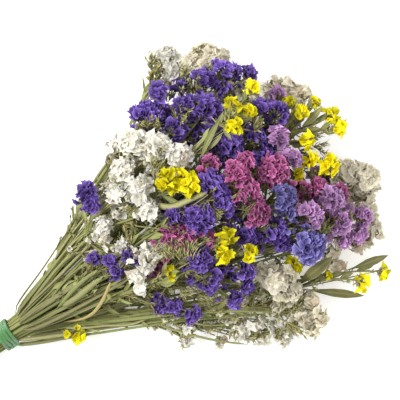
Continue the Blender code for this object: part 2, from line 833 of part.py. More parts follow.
def band_solid(slots, middle_height):
    """The band: a flat ring drawn tight round the stems."""
    rounds = []
    for grow in (STEM_REACH + CLEAR, STEM_REACH + CLEAR + BAND_THICKNESS):
        outline = []
        for k in range(BAND_POINTS):
            a = 2 * math.pi * k / BAND_POINTS - math.pi / 2 + BAND_TURN
            look = np.array([math.cos(a), math.sin(a)])
            slot = max(slots, key=lambda p: p @ look)
            outline.append(slot + grow * look + np.array([0.0, middle_height]))
        rounds.append(outline)
    low = min(p[1] for p in rounds[1])
    rounds[1] = [np.array([p[0], max(0.0, p[1] - low * (p[1] < low + 0.2))]) for p in rounds[1]]
    inner, outer = rounds
    half = BAND_WIDTH / 2
    work = bmesh.new()
    loops = [
        [work.verts.new((x, p[0], p[1])) for p in outline]
        for outline, x in ((inner, -half), (outer, -half), (outer, half), (inner, half))
    ]
    for loop, following in zip(loops, loops[1:] + loops[:1]):
        for i, corner in enumerate(loop):
            after = (i + 1) % BAND_POINTS
            work.faces.new((corner, following[i], following[after], loop[after]))
    bmesh.ops.recalc_face_normals(work, faces=work.faces)
    mesh = bpy.data.meshes.new("band")
    work.to_mesh(mesh)
    work.free()
    return mesh_object("tie_band", mesh, "band")


def name_nodes(stems):
    """stem_COLOUR_N for each stem and flowers_COLOUR_NL for each of its sprays."""
    counts = {}
    for one in stems:
        counts[one.colour] = counts.get(one.colour, 0) + 1
        one.name = f"stem_{one.colour}_{counts[one.colour]}"
        for letter, spray in zip("abcdefg", one.sprays):
            spray.name = f"flowers_{one.colour}_{counts[one.colour]}{letter}"


def centre_on_origin(pieces):
    """Puts the middle of the bunch's underside at the origin."""
    corners = np.array([v.co for piece in pieces for v in piece.data.vertices])
    low, high = corners.min(axis=0), corners.max(axis=0)
    holder = bpy.data.objects.new("bunch", None)
    bpy.context.scene.collection.objects.link(holder)
    for piece in pieces:
        piece.parent = holder
    holder.location = (-(low[0] + high[0]) / 2, -(low[1] + high[1]) / 2, -low[2])
    return holder


def lay_out(stems):
    """Works out every place of the bunch."""
    name_nodes(stems)
    slots = band_slots(len(stems))
    place_heads(stems)
    settle(stems, slots)
    shrink_to_fit(stems)
    seat_sprays(stems)
    bow_stalks(stems)
    for number, one in enumerate(stems):
        one.cut = -CUT_LENGTH - CUT_STAGGER * math.sin(CUT_TURN * number)
    return slots


def main():
    clear_scene()
    slots = lay_out(STEMS)
    pieces = [band_solid(slots, band_middle_height(slots))]
    for one in STEMS:
        pieces.append(stem_solid(one))
        pieces += [spray_solid(spray, one.colour) for spray in one.sprays]
    for number, leaf in enumerate(LEAVES, 1):
        pieces.append(leaf_solid(leaf, STEMS[-1].sprays[0], f"leaf_{number}"))
    centre_on_origin(pieces)


main()
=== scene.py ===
"""A bunch of dried statice in mixed colours, lying on a pale table.

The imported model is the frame. It gives every stem's line, every head's place and size, every
stalk's route, the leaves and the band. The papery florets, bracts, winged stems, leaf blades
and the wound band are made here around it.
"""

import heapq
import math

import bpy
import numpy as np
from bpy.props import FloatProperty, FloatVectorProperty, IntProperty, PointerProperty
from mathutils import Matrix, Vector
from mathutils.bvhtree import BVHTree


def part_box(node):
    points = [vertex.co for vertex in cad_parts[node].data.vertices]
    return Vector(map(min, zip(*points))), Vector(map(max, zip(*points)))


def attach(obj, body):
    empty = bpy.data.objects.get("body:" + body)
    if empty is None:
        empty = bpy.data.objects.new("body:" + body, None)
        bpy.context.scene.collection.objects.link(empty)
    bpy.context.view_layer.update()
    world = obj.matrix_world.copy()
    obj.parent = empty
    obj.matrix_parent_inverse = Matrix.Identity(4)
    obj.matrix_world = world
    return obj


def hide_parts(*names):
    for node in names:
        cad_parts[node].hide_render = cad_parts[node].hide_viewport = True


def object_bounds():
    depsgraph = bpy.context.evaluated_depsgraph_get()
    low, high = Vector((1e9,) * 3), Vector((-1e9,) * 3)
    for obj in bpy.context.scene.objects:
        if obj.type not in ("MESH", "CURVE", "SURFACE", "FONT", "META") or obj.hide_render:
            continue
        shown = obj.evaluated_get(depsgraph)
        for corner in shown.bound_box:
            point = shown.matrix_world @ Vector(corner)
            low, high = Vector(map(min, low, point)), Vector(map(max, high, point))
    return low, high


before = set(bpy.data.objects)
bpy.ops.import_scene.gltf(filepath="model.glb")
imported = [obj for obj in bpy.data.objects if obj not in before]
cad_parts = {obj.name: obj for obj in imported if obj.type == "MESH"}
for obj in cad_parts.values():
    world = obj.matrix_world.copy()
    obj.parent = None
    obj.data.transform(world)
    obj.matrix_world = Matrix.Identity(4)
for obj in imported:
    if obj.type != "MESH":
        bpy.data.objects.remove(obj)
CAD_BOX = [list(corner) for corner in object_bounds()]

bl_info = {
    "name": "Dried Statice Bunch",
    "version": (1, 0, 0),
    "blender": (4, 5, 0),
    "location": "3D View > Sidebar > Statice",
    "description": "Dresses the frame of a dried statice bunch in florets, bracts, stems and a band",
    "category": "Object",
}

MM = 0.001
TURN = 2 * math.pi
UP = np.array([0.0, 0.0, 1.0])

# The reading of the bunch: its axis leans this much from "right", counted from the band
LEAN = math.radians(32.0)
BAND_MIDDLE = Vector([(a + b) / 2 for a, b in zip(*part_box("tie_band"))][:2] + [0.0])
VIEW_RIGHT = Vector((math.cos(LEAN), -math.sin(LEAN), 0.0))
VIEW_UP = Vector((math.sin(LEAN), math.cos(LEAN), 0.0))
RIGHTWARD, UPWARD = np.array(VIEW_RIGHT), np.array(VIEW_UP)

# What the frame's solids are known to be like
LEAST_HEART = 0.0027  # the ball inside the smallest head is larger than this
SKIN_SHARE = 0.93  # a head's corners lie at this share of its radius
INNER_BALL = 1.6  # a head is about this many times as wide as the ball inside it
STALK_REACH = 0.0013  # the corners of a stalk are about this far from its middle
HEAD_EDGE, HEAD_SKIN = 1.02, 1.05  # shares of a head's radius that hold its corners, closely and loosely
FORK_REACH = 0.0035  # a fork's corners are at most this much further from the stem than the nearest one
STALK_STEP = 0.003  # least distance between the points of a stalk's route
LEAF_FOOT = (290, 50, 60)  # the side of the bunch that the long leaves grow from
LEAF_OUTLINE = ((0, 0.15, 0.32, 0.5, 0.7, 0.88, 1.0), (0.14, 0.18, 0.55, 0.98, 1.0, 0.55, 0.03))

# What is made here
UNDERSIDE = 0.02  # heads lower than this lie on the table
LOWEST_POINT = 0.0004  # nothing goes lower than this
LOWEST_TIP = 0.003  # twigs end no lower than this
DOME_OPENING = math.radians(105)  # how far round a head its florets stand
COMB_LEAST = 0.0085  # only larger heads have their florets in rows
FILL_FLORETS = 8
LOW_HEAD, MIDDLE_HEAD = 30, 80  # heads lower in the view than these have three and two strands
DEEP_SPRAY_PAINTED_SHADE = 0.6  # painted shade: greens among deep colours are painted this much darker than those among pale ones, for the dark crevices between heads
STATION_GAP = 0.003  # between the rings of a winged stem
FINEST, FINE, THIN, STOUT = 0.00045, 0.0005, 0.0006, 0.0009  # radii of twigs
STEM_SEED, SPRAY_SEED, LEAF_SEED = 100, 500, 900
LIT_PLACE = (0.05, 0.0, 0.05)  # where both lamps look


class Kind:
    """What one colour of statice is like.

    A floret is a funnel. size is its radius, and depth, notch, ruffle, squash, roll and crumple are
    shares of it. It looks out of its head by face, on with its head by onward, and strays by jitter.
    """

    ruffles = 5
    roll = 0.1
    flare = 0.95  # under 1, the funnel opens late
    columns = 15
    crumple = 0.035
    withered = None  # the colour of a few dry florets
    mottling = 0.35
    spacing = 1.0  # between florets, in florets
    on_stalks = 0.4  # florets along the stalks
    tufts = 1.2  # tufts between the heads, for each head
    buds = 0.0  # chance of a floret on a side twig
    swell = 1.04  # how far the florets' dome stands out of the head
    comb = 0.0  # chance that a head has its florets in rows
    heart = None  # an inner lumpy ball: how far below the dome, in florets, and how near the rim's colour; a pale filler for white and cream, and near the throat's colour for deep colours, where it is painted shade between the florets

    def __init__(self, **ways):
        self.__dict__.update(ways)


KINDS = {
    "white": Kind(
        size=0.0078, throat=(0.72, 0.69, 0.56), rim=(0.96, 0.94, 0.88), withered=(0.40, 0.24, 0.17),
        depth=0.5, notch=0.38, ruffle=0.17, squash=(0.45, 0.95), roll=0.2, flare=0.8, crumple=0.065,
        face=0.9, onward=0.35, jitter=0.42, on_stalks=0.5, tufts=2.0, buds=0.45, swell=1.12,
        heart=(0.58, 0.85), mottling=0.12,
    ),
    "cream": Kind(
        size=0.0074, throat=(0.62, 0.55, 0.38), rim=(0.93, 0.88, 0.72), withered=(0.45, 0.30, 0.20),
        depth=0.5, notch=0.22, ruffle=0.14, squash=(0.6, 1.0), roll=0.35, flare=0.75, crumple=0.06,
        face=1.0, onward=0.2, jitter=0.32, buds=0.35, swell=1.1, heart=(0.5, 1.0), mottling=0.18,
    ),
    "purple": Kind(
        size=0.0062, throat=(0.012, 0.004, 0.05), rim=(0.385, 0.235, 0.84),
        depth=1.1, notch=0.28, ruffles=6, ruffle=0.2, squash=(0.3, 0.85), face=0.7, onward=0.5, jitter=0.38,
        spacing=1.05, on_stalks=0.6, tufts=1.3, comb=0.6, heart=(1.05, 0.05),
    ),
    "blue": Kind(
        size=0.0056, throat=(0.045, 0.04, 0.17), rim=(0.40, 0.35, 0.82),
        depth=1.0, notch=0.25, ruffles=6, ruffle=0.2, squash=(0.35, 0.85), columns=16,
        face=0.8, onward=0.4, jitter=0.3, tufts=1.0, comb=0.2, heart=(1.0, 0.2),
    ),
    "pink": Kind(
        size=0.0060, throat=(0.12, 0.01, 0.055), rim=(0.90, 0.29, 0.63),
        depth=1.05, notch=0.4, ruffle=0.16, squash=(0.4, 0.9), face=0.75, onward=0.45, jitter=0.35,
        spacing=1.08, on_stalks=0.5, comb=0.5, heart=(1.05, 0.1),
    ),
    "lavender": Kind(
        size=0.0066, throat=(0.22, 0.09, 0.24), rim=(0.80, 0.48, 0.84),
        depth=1.0, notch=0.24, ruffles=6, ruffle=0.18, squash=(0.4, 0.9), face=0.7, onward=0.5, jitter=0.35,
        spacing=1.05, comb=0.8, heart=(1.05, 0.2),
    ),
    "yellow": Kind(
        size=0.0060, throat=(0.74, 0.63, 0.012), rim=(0.98, 0.91, 0.012),
        depth=1.15, notch=0.2, ruffle=0.1, squash=(0.35, 0.85), roll=0.0, flare=0.85,
        face=0.5, onward=0.6, jitter=0.55, spacing=1.35, on_stalks=0.0, tufts=0.4, mottling=0.15,
    ),
}

# The next five lists hold places in millimetres right and up of the band and above the table

# Tufts where a spray closes a gap
FILL = {
    "purple_3a": ((194, 181, 52), (203, 190, 50), (188, 172, 46), (194, 200, 56), (189, 206, 52)),
    "pink_1a": ((247, 139, 84), (240, 150, 84)),
    "pink_2a": ((263, 146, 60), (256, 132, 58)),
    "pink_3a": ((161, 99, 104), (198, 99, 104), (179, 104, 106), (190, 106, 106), (170, 104, 104)),
    "white_1b": (
        (150, 140, 62), (158, 130, 58), (112, 158, 60), (149, 164, 72), (147, 154, 72), (153, 123, 62),
        (104, 148, 60), (112, 140, 62),
    ),
    "white_1c": ((132, 63, 86), (137, 53, 84), (139, 70, 86), (134, 80, 88), (146, 84, 90)),
    "cream_1a": (
        (188, 274, 28), (197, 283, 30), (204, 287, 30), (184, 264, 26), (210, 278, 30), (219, 281, 30),
        (194, 264, 28), (203, 274, 30), (224, 248, 26), (244, 250, 26),
    ),
    "cream_1b": (
        (271, 257, 28), (260, 250, 30), (281, 254, 34), (282, 238, 34), (254, 246, 30), (298, 246, 34),
    ),
    "cream_2a": (
        (345, 164, 34), (356, 166, 34), (367, 165, 34), (371, 153, 32), (356, 152, 32), (366, 138, 30),
        (364, 100, 30), (369, 120, 30), (356, 92, 28), (328, 86, 26), (334, 72, 26), (374, 104, 26),
    ),
    "white_3a": (
        (235, 7, 28), (252, 13, 30), (262, 1, 28), (272, 15, 28), (254, -3, 20), (279, -3, 20), (217, -2, 20),
        (183, -4, 18), (240, 0, 20),
    ),
    "cream_3a": (
        (262, 28, 34), (284, 24, 32), (246, 44, 40), (314, 26, 40), (297, 26, 38), (308, 6, 34),
        (317, 16, 36), (303, 38, 42), (284, 62, 66), (262, 66, 66),
    ),
    "yellow_4b": ((66, 2, 27),),
    "purple_6a": ((224, 114, 84), (213, 117, 84), (218, 118, 68), (235, 121, 80), (228, 104, 78)),
    "white_1a": ((140, 168, 66), (166, 158, 66), (112, 186, 64), (108, 176, 60), (117, 195, 68)),
    "purple_2a": ((176, 208, 56), (192, 218, 58), (178, 248, 40), (165, 240, 40)),
    "purple_4a": ((262, 196, 56), (240, 178, 52), (262, 225, 48)),
    "lavender_1a": ((312, 130, 56), (322, 112, 52)),
}
# Cones of dry bracts: where each starts and ends, and how far it opens
SHEATHS = {
    "white_2a": (((149, 246, 22), (149, 284, 40), 0.0055), ((153, 250, 22), (157, 272, 36), 0.004)),
    "yellow_1a": (((224, 212, 98), (231, 224, 108), 0.006), ((252, 206, 88), (256, 216, 96), 0.004)),
    "lavender_1a": (
        ((318, 96, 66), (324, 114, 84), 0.006),
        ((342, 108, 60), (349, 126, 76), 0.006),
        ((330, 104, 60), (338, 122, 74), 0.005),
    ),
    "cream_3a": (
        ((256, 34, 44), (266, 52, 72), 0.007),
        ((278, 28, 44), (288, 44, 62), 0.006),
        ((292, 24, 40), (300, 40, 52), 0.005),
    ),
    "white_3a": (
        ((242, -4, 22), (254, 4, 32), 0.005),
        ((270, -2, 22), (281, 4, 30), 0.005),
        ((180, -4, 22), (188, 6, 32), 0.004),
    ),
}
# Brushes of dry bracts low in the bunch
BRUSHES = (
    (98, 98, 58), (112, 88, 62), (128, 96, 66), (140, 84, 66), (152, 96, 70), (166, 92, 76),
    (106, 62, 54), (124, 58, 58), (140, 50, 60), (158, 40, 56), (176, 52, 66), (196, 44, 62),
    (214, 36, 58), (186, 64, 78), (299, 188, 48), (302, 70, 40), (278, 76, 40), (306, 208, 44),
    (313, 192, 46), (290, 11, 26), (292, 16, 28), (285, 14, 36), (304, 167, 46), (94, 107, 54),
    (127, 191, 62), (111, 141, 58), (273, 130, 54), (183, 259, 30), (182, 253, 30), (263, 220, 52),
    (217, 10, 24), (197, 7, 26), (163, 46, 40), (172, 38, 38), (190, 40, 36), (148, 118, 60),
    (166, 124, 66), (120, 112, 60), (90, 80, 54), (236, 28, 44), (206, 24, 40), (172, 22, 36),
    (200, 196, 60), (214, 184, 62), (286, 206, 44), (268, 212, 46), (150, 275, 36), (151, 265, 34),
    (153, 255, 30), (312, 118, 50), (238, 26, 30), (256, 16, 28), (248, 3, 24), (266, 8, 26),
    (278, 20, 28), (233, 6, 24), (146, 211, 74), (137, 209, 72), (158, 213, 74), (180, 218, 84),
    (206, 224, 82), (202, 132, 106), (209, 130, 106), (132, 131, 97), (152, 170, 98), (156, 164, 98),
    (322, 208, 50), (128, 90, 84), (136, 112, 84),
)
# Long pale leaves that stand out: where each starts and ends, and half its width
RIBBONS = {
    "yellow_1b": (((160, 140, 84), (186, 133, 98), 0.003),),
    "yellow_3a": (((157, 56, 82), (178, 62, 92), 0.0052),),
    "yellow_2a": (((300, 214, 50), (322, 232, 58), 0.004), ((303, 216, 48), (318, 216, 54), 0.003)),
    "yellow_1a": (
        ((208, 204, 92), (222, 226, 98), 0.003),
        ((222, 222, 98), (250, 222, 100), 0.0026),
        ((198, 182, 92), (221, 216, 100), 0.0033),
        ((206, 186, 92), (219, 206, 98), 0.0022),
    ),
}
# Long straps that curve over the stems: their reach to each side, tone and shade, and the places they pass
STRAPS = {
    "yellow_1b": ((0.0036, 0.45, 0.85, (154, 133, 90), (170, 130, 101), (187, 138, 107), (205, 146, 112)),),
    "white_1c": (
        (
            0.0017, 1.0, 0.6, (109, 56, 89), (106, 48, 80), (102, 40, 73), (98, 33, 66), (93, 26, 56),
            (86, 20, 44), (78, 16, 40), (60, 14, 30),
        ),
        (0.003, 0.25, 0.5, (60, 31, 52), (76, 41, 69), (90, 53, 81), (101, 61, 85)),
        (0.0024, 0.1, 0.45, (56, 31, 50), (73, 50, 68), (88, 63, 80), (97, 68, 82)),
    ),
    "white_3a": (
        (0.0013, 0.5, 0.7, (62, 8, 34), (83, 8, 38), (103, 11, 32), (128, 10, 34), (148, 20, 40)),
        (0.0012, 0.3, 0.6, (143, 18, 30), (158, 10, 34), (183, 3, 38), (213, -5, 34), (246, -9, 28)),
        (0.0012, 0.3, 0.6, (152, 22, 30), (176, 17, 36), (205, 10, 36), (232, 12, 32)),
        (0.0022, 0.3, 0.5, (9, -10, 10), (20, -10, 10), (38, -7, 14), (58, -3, 20), (76, 0, 26)),
        (0.0023, 0.5, 0.55, (12, -5, 20), (24, -4, 22), (40, -2, 24), (60, 1, 28), (84, 3, 30)),
    ),
}


# Sizes and colours a user would change


def length(name, words, value):
    return FloatProperty(name=name, description=words, default=value, unit="LENGTH", subtype="DISTANCE")


def colour(name, words, value):
    shared = {"size": 3, "min": 0, "max": 1, "subtype": "COLOR"}
    return FloatVectorProperty(name=name, description=words, default=value, **shared)


class StaticeFlorets(bpy.types.PropertyGroup):
    """Sizes of the papery florets."""

    __annotations__ = {
        name: length(f"{name.title()} floret", f"Radius of a {name} floret", kind.size)
        for name, kind in KINDS.items()
    }


class StaticeColours(bpy.types.PropertyGroup):
    """Colours of the petals, at the throat and at the rim of a floret."""

    __annotations__ = {
        f"{name}_{end}": colour(f"{name.title()} {end}", f"{name.title()} floret {where}", getattr(kind, end))
        for name, kind in KINDS.items()
        for end, where in (("throat", "near its stalk"), ("rim", "at its edge"))
    }


class StaticeGreens(bpy.types.PropertyGroup):
    """Sizes and colours of the stems, bracts, leaves, band and table."""

    stem_core: length("Stem core", "Radius of a stem between its wings", 0.0013)
    wing_reach: length("Wing reach", "Radius to the edge of a stem's wings", 0.0029)
    bract_length: length("Bract length", "Length of a pointed bract under the florets", 0.0065)
    band_turns: IntProperty(name="Band turns", description="Turns of the tie round the stems", default=4)
    stem_dark: colour("Stem dark", "Stem between its wings", (0.19, 0.195, 0.055))
    stem_light: colour("Stem light", "Edges of a stem's wings", (0.54, 0.53, 0.21))
    bract_dark: colour("Bract dark", "Foot of a bract", (0.13, 0.122, 0.04))
    bract_light: colour("Bract light", "Dry tip of a bract", (0.64, 0.60, 0.29))
    leaf_dark: colour("Leaf dark", "Leaf blade", (0.10, 0.098, 0.026))
    leaf_light: colour("Leaf light", "Leaf rib and rim", (0.19, 0.185, 0.06))
    band: colour("Band", "Soft tie", (0.05, 0.19, 0.045))
    table: colour("Table", "The pale table", (0.93, 0.93, 0.92))


# Places, ways and lines


def nodes_named(start):
    return sorted(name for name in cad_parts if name.startswith(start))


def reading(right, up, height):
    """A place in the row frame from millimetres right and up of the band and above the table."""
    return np.array(BAND_MIDDLE + (VIEW_RIGHT * right + VIEW_UP * up) * MM + Vector((0.0, 0.0, height * MM)))


def reading_up(place):
    """Millimetres up of the band, as the photograph shows a place."""
    return (Vector(place) - BAND_MIDDLE).dot(VIEW_UP) / MM


def unit(way):
    return way / max(1e-12, np.linalg.norm(way))


def units(ways):
    """Each row made one long."""
    return ways / np.linalg.norm(ways, axis=1, keepdims=True)


def distances(points, place):
    return np.linalg.norm(points - place, axis=1)


def angles(count):
    """That many angles, evenly spread round a circle."""
    return np.arange(count) * TURN / count


def smoothed(line, times):
    """The line itself, with each inner point drawn between its neighbours."""
    for _ in range(times):
        line[1:-1] = 0.25 * line[:-2] + 0.5 * line[1:-1] + 0.25 * line[2:]
    return line


def places_on(line, wanted, known=None):
    """Places at the wanted values along a line; known gives its points' values, else shares from 0 to 1."""
    known = np.linspace(0, 1, len(line)) if known is None else known
    return np.array([np.interp(wanted, known, line[:, k]) for k in range(3)]).T


def resampled(line, count):
    """A line of that many points, evenly spread and slightly smoothed."""
    run = np.concatenate([[0.0], np.cumsum(np.linalg.norm(np.diff(line, axis=0), axis=1))])
    return smoothed(places_on(line, np.linspace(0.0, run[-1], count), run), 2)


def painted_neck_shadow(line):
    """Painted shadow along a line: the stems are painted darkest near the band, standing in for the shade
    over them where they are packed together.
    """
    return 0.27 + 0.73 * np.clip((line[:, 0] - BAND_MIDDLE.x) / 0.12, 0.0, 1.0)


# What the frame tells: stem lines, heads, stalk routes


def cad_mesh(name):
    """Corners and triangles of a CAD node, as arrays in the row frame."""
    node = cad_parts[name]
    mesh = node.data
    mesh.calc_loop_triangles()
    corners = np.empty(len(mesh.vertices) * 3)
    mesh.vertices.foreach_get("co", corners)
    turn = np.array(node.matrix_world)
    corners = corners.reshape(-1, 3) @ turn[:3, :3].T + turn[:3, 3]
    faces = np.empty(len(mesh.loop_triangles) * 3, dtype=np.int32)
    mesh.loop_triangles.foreach_get("vertices", faces)
    return corners, faces.reshape(-1, 3)


def welded(corners, faces):
    """The mesh with corners at one place made one."""
    _, first, same = np.unique(np.round(corners, 6), axis=0, return_index=True, return_inverse=True)
    return corners[first], same.reshape(-1)[faces]


def skin_of(corners, faces):
    return BVHTree.FromPolygons([Vector(c) for c in corners], faces.tolist())


def stem_line(name):
    """Middle and radius of a stem at each of its rings, which stand square to X."""
    corners, _ = cad_mesh(name)
    line = []
    for x in np.unique(np.round(corners[:, 0], 5)):
        ring = corners[np.abs(corners[:, 0] - x) < 2e-5]
        middle = (ring.max(axis=0) + ring.min(axis=0)) / 2
        line.append((*middle, distances(ring, middle).max()))
    return np.array(line)


def stem_of(spray):
    """The stem that a flower node grows from: flowers_pink_2a is on stem_pink_2."""
    return stem_line("stem_" + spray.split("_", 1)[1][:-1])[:, :3]


class Head:
    """One flower head read back from the frame: its middle, radius, look and stalk."""

    def __init__(self, centre, radius):
        self.centre = centre
        self.radius = radius
        self.look = None
        self.stalk = None


def inner_balls(corners, faces):
    """The largest ball inside a closed mesh behind each face: rows of centre and radius."""
    skin = skin_of(corners, faces)
    balls = []
    for a, b, c in corners[faces]:
        normal = np.cross(b - a, c - a)
        area = np.linalg.norm(normal)
        if area < 4e-6:
            continue
        normal /= area
        place = (a + b + c) / 3
        radius = 0.03
        for _ in range(10):
            centre = place - normal * radius
            near = np.array(skin.find_nearest(Vector(centre))[0])
            away = place - near
            if np.linalg.norm(centre - near) > radius - 2e-5 or away @ normal < 1e-7:
                break
            radius = (away @ away) / (2 * (away @ normal))
        balls.append((*(place - normal * radius), radius))
    return np.array(balls)


def sphere_through(points):
    """Middle and radius of the sphere that fits the points best."""
    rows = np.hstack([2 * points, np.ones((len(points), 1))])
    answer = np.linalg.lstsq(rows, (points**2).sum(axis=1), rcond=None)[0]
    return answer[:3], math.sqrt(max(1e-9, answer[3] + answer[:3] @ answer[:3]))


def find_heads(corners, faces):
    """The heads of a spray, largest first: all corners of a head lie near one sphere."""
    balls = inner_balls(corners, faces)
    big = balls[balls[:, 3] > LEAST_HEART]
    heads = []
    while len(big):
        biggest = big[big[:, 3].argmax()]
        middle, reach = biggest[:3], INNER_BALL * biggest[3]
        for _ in range(6):
            skin = corners[np.abs(distances(corners, middle) - reach) < 0.22 * reach]
            if len(skin) < 8:
                break
            guess, size = sphere_through(skin)
            if not 0.6 < size / (INNER_BALL * biggest[3]) < 1.5:
                break
            middle, reach = 0.5 * (middle + guess), 0.5 * (reach + size)
        known = [h for h in heads if np.linalg.norm(h.centre - middle) < 0.75 * max(h.radius, reach)]
        if not known:
            heads.append(Head(middle, reach / SKIN_SHARE))
        big = big[distances(big[:, :3], biggest[:3]) > 1.15 * biggest[3]]
        big = big[distances(big[:, :3], middle) > 0.8 * reach]
    return heads


def corner_normals(corners, faces):
    a, b, c = (corners[faces[:, k]] for k in range(3))
    facing = np.cross(b - a, c - a)
    normals = np.zeros_like(corners)
    for k in range(3):
        np.add.at(normals, faces[:, k], facing)
    return normals / (np.linalg.norm(normals, axis=1, keepdims=True) + 1e-15)


def walks_from(start, corners, faces):
    """Shortest walks over a mesh's edges from some corners: their lengths, and the corner before each."""
    beside = {}
    for i, j in np.vstack([faces[:, [0, 1]], faces[:, [1, 2]], faces[:, [2, 0]]]).tolist():
        beside.setdefault(i, set()).add(j)
        beside.setdefault(j, set()).add(i)
    far = {int(i): 0.0 for i in start}
    before = {}
    waiting = [(0.0, int(i)) for i in start]
    while waiting:
        run, here = heapq.heappop(waiting)
        if run > far[here]:
            continue
        for there in beside.get(here, ()):
            total = run + float(np.linalg.norm(corners[there] - corners[here]))
            if total < far.get(there, 1e9):
                far[there] = total
                before[there] = here
                heapq.heappush(waiting, (total, there))
    return far, before


def read_spray(name):
    """All heads of a flower node, each with its look and stalk, and the fork they grow from."""
    corners, faces = welded(*cad_mesh(name))
    heads = find_heads(corners, faces)
    in_heads = np.zeros(len(corners), dtype=bool)
    for head in heads:
        in_heads |= distances(corners, head.centre) < HEAD_EDGE * head.radius
    inner = corners - STALK_REACH * corner_normals(corners, faces)
    inner[in_heads] = corners[in_heads]
    stem = resampled(stem_of(name), 160)
    apart = np.linalg.norm(corners[:, None] - stem[None], axis=2).min(axis=1)
    apart[in_heads] = 1.0
    close = np.flatnonzero(apart < apart.min() + FORK_REACH)
    fork = corners[close].mean(axis=0)
    far, before = walks_from(close, corners, faces)
    for head in heads:
        on_head = distances(corners, head.centre) < HEAD_SKIN * head.radius
        route = [min((i for i in far if on_head[i]), key=far.get)]
        while route[-1] in before:
            route.append(before[route[-1]])
        line = [fork]
        for i in route[-2:0:-1]:
            if np.linalg.norm(inner[i] - line[-1]) > STALK_STEP:
                line.append(inner[i])
        ring = on_head & (distances(corners, corners[route[0]]) < 0.48 * head.radius)
        head.look = unit(head.centre - corners[ring].mean(axis=0))
        line.append(head.centre - head.look * 0.9 * head.radius)
        if len(line) < 3:
            line.insert(1, (fork + line[-1]) / 2)
        head.stalk = np.array(line)
    return heads, fork


# Mesh building: everything is a grid of points, gathered into one mesh


class Gathering:
    """Grids of points that become one mesh, with a tone a grid, a shade a point and an atlas for baking."""

    def __init__(self):
        self.points, self.corners, self.tones, self.shades, self.uvs, self.cells = ([] for _ in range(6))
        self.count = 0
        self.total = 0

    def add(self, points, wrap=False, tone=0.5, shade=None, polar=False):
        """points is (rows, columns, 3) for one grid or (many, rows, columns, 3) for many alike."""
        if points.ndim == 3:
            points = points[None]
        many, rows, columns, _ = points.shape
        if not many:
            return
        across = columns if wrap else columns - 1
        r, c = np.meshgrid(np.arange(rows - 1), np.arange(across), indexing="ij")
        after = (c + 1) % columns
        quad = [row * columns + column for row, column in ((r, c), (r, after), (r + 1, after), (r + 1, c))]
        quad = np.stack(quad, axis=-1).reshape(-1, 4)
        u = np.stack([c, c + 1, c + 1, c], axis=-1).reshape(-1, 4) / across
        v = np.stack([r, r, r + 1, r + 1], axis=-1).reshape(-1, 4) / (rows - 1)
        if polar:
            reach = 0.5 * (0.08 + 0.92 * v)
            u, v = 0.5 + reach * np.cos(TURN * u), 0.5 + reach * np.sin(TURN * u)
        each = rows * columns
        starts = self.total + np.arange(many) * each
        self.points.append(points.reshape(-1, 3))
        self.corners.append((quad[None] + starts[:, None, None]).reshape(-1, 4))
        self.tones.append(np.repeat(np.broadcast_to(tone, (many,)), each))
        if shade is None:
            shade = np.linspace(0.0, 1.0, rows)[:, None]
        self.shades.append(np.broadcast_to(shade, (many, rows, columns)).reshape(-1))
        self.uvs.append(np.broadcast_to(np.stack([u, v], axis=-1), (many, len(quad), 4, 2)).reshape(-1, 4, 2))
        self.cells.append(np.repeat(self.count + np.arange(many), len(quad)))
        self.count += many
        self.total += many * each

    def mesh_object(self, name, kind):
        points = np.vstack(self.points)
        points[:, 2] = np.maximum(points[:, 2], LOWEST_POINT)
        quads = np.vstack(self.corners)
        mesh = bpy.data.meshes.new(name)
        mesh.vertices.add(len(points))
        mesh.vertices.foreach_set("co", points.astype(np.float32).ravel())
        mesh.loops.add(quads.size)
        mesh.loops.foreach_set("vertex_index", quads.astype(np.int32).ravel())
        mesh.polygons.add(len(quads))
        mesh.polygons.foreach_set("loop_start", np.arange(len(quads), dtype=np.int32) * 4)
        mesh.polygons.foreach_set("use_smooth", np.ones(len(quads), dtype=bool))
        uv = np.vstack(self.uvs)
        side = math.ceil(math.sqrt(self.count))
        cell = np.concatenate(self.cells)
        corner = np.stack([cell % side, cell // side], axis=-1)[:, None]
        for label, values in (("Pattern", uv), ("OFBake", (corner + 0.05 + 0.9 * uv) / side)):
            mesh.uv_layers.new(name=label).data.foreach_set("uv", values.astype(np.float32).ravel())
        for label, values in (("tone", self.tones), ("shade", self.shades)):
            layer = mesh.attributes.new(label, "FLOAT", "POINT")
            layer.data.foreach_set("value", np.concatenate(values).astype(np.float32))
        mesh.update(calc_edges=True)
        mesh.validate()
        mesh.materials.append(material(kind))
        made = bpy.data.objects.new(name, mesh)
        bpy.context.scene.collection.objects.link(made)
        return made


def tube(line, radii, columns, outline=1.0):
    """A tube's grid. outline gives the reach at each column as a share of the radius."""
    ways = np.gradient(line, axis=0)
    ways /= np.linalg.norm(ways, axis=1, keepdims=True) + 1e-12
    side = unit(np.cross(ways[0], UP) + [1e-6, 0.0, 0.0])
    sides = []
    for way in ways:
        side = unit(side - way * (side @ way))
        sides.append(side)
    sides = np.array(sides)
    tops = np.cross(ways, sides)
    turn = angles(columns)[None, :, None]
    reach = np.broadcast_to(radii, (len(line),))[:, None] * outline
    reach = np.broadcast_to(reach, (len(line), columns))[..., None]
    return line[:, None] + reach * (np.cos(turn) * sides[:, None] + np.sin(turn) * tops[:, None])


def turned_to(looks, spins):
    """Turns (many, 3, 3) that bring +Z to each look, after a spin about it."""
    looks = units(looks)
    helper = np.where(np.abs(looks[:, 2:3]) < 0.9, [[0.0, 0.0, 1.0]], [[1.0, 0.0, 0.0]])
    x = units(np.cross(helper, looks))
    y = np.cross(looks, x)
    c, s = np.cos(spins)[:, None], np.sin(spins)[:, None]
    return np.stack([c * x + s * y, c * y - s * x, looks], axis=2)


def rings_about(turns, count):
    """Ways to that many corners of a ring about each turn's look."""
    turn = angles(count)
    ring = np.stack([np.cos(turn), np.sin(turn), 0 * turn], axis=1)
    return np.einsum("nij,cj->nci", turns, ring)


def set_out(grids, turns, places):
    """Grids about +Z, each turned and moved to its place."""
    return np.einsum("nij,nrcj->nrci", turns, grids) + places[:, None, None]


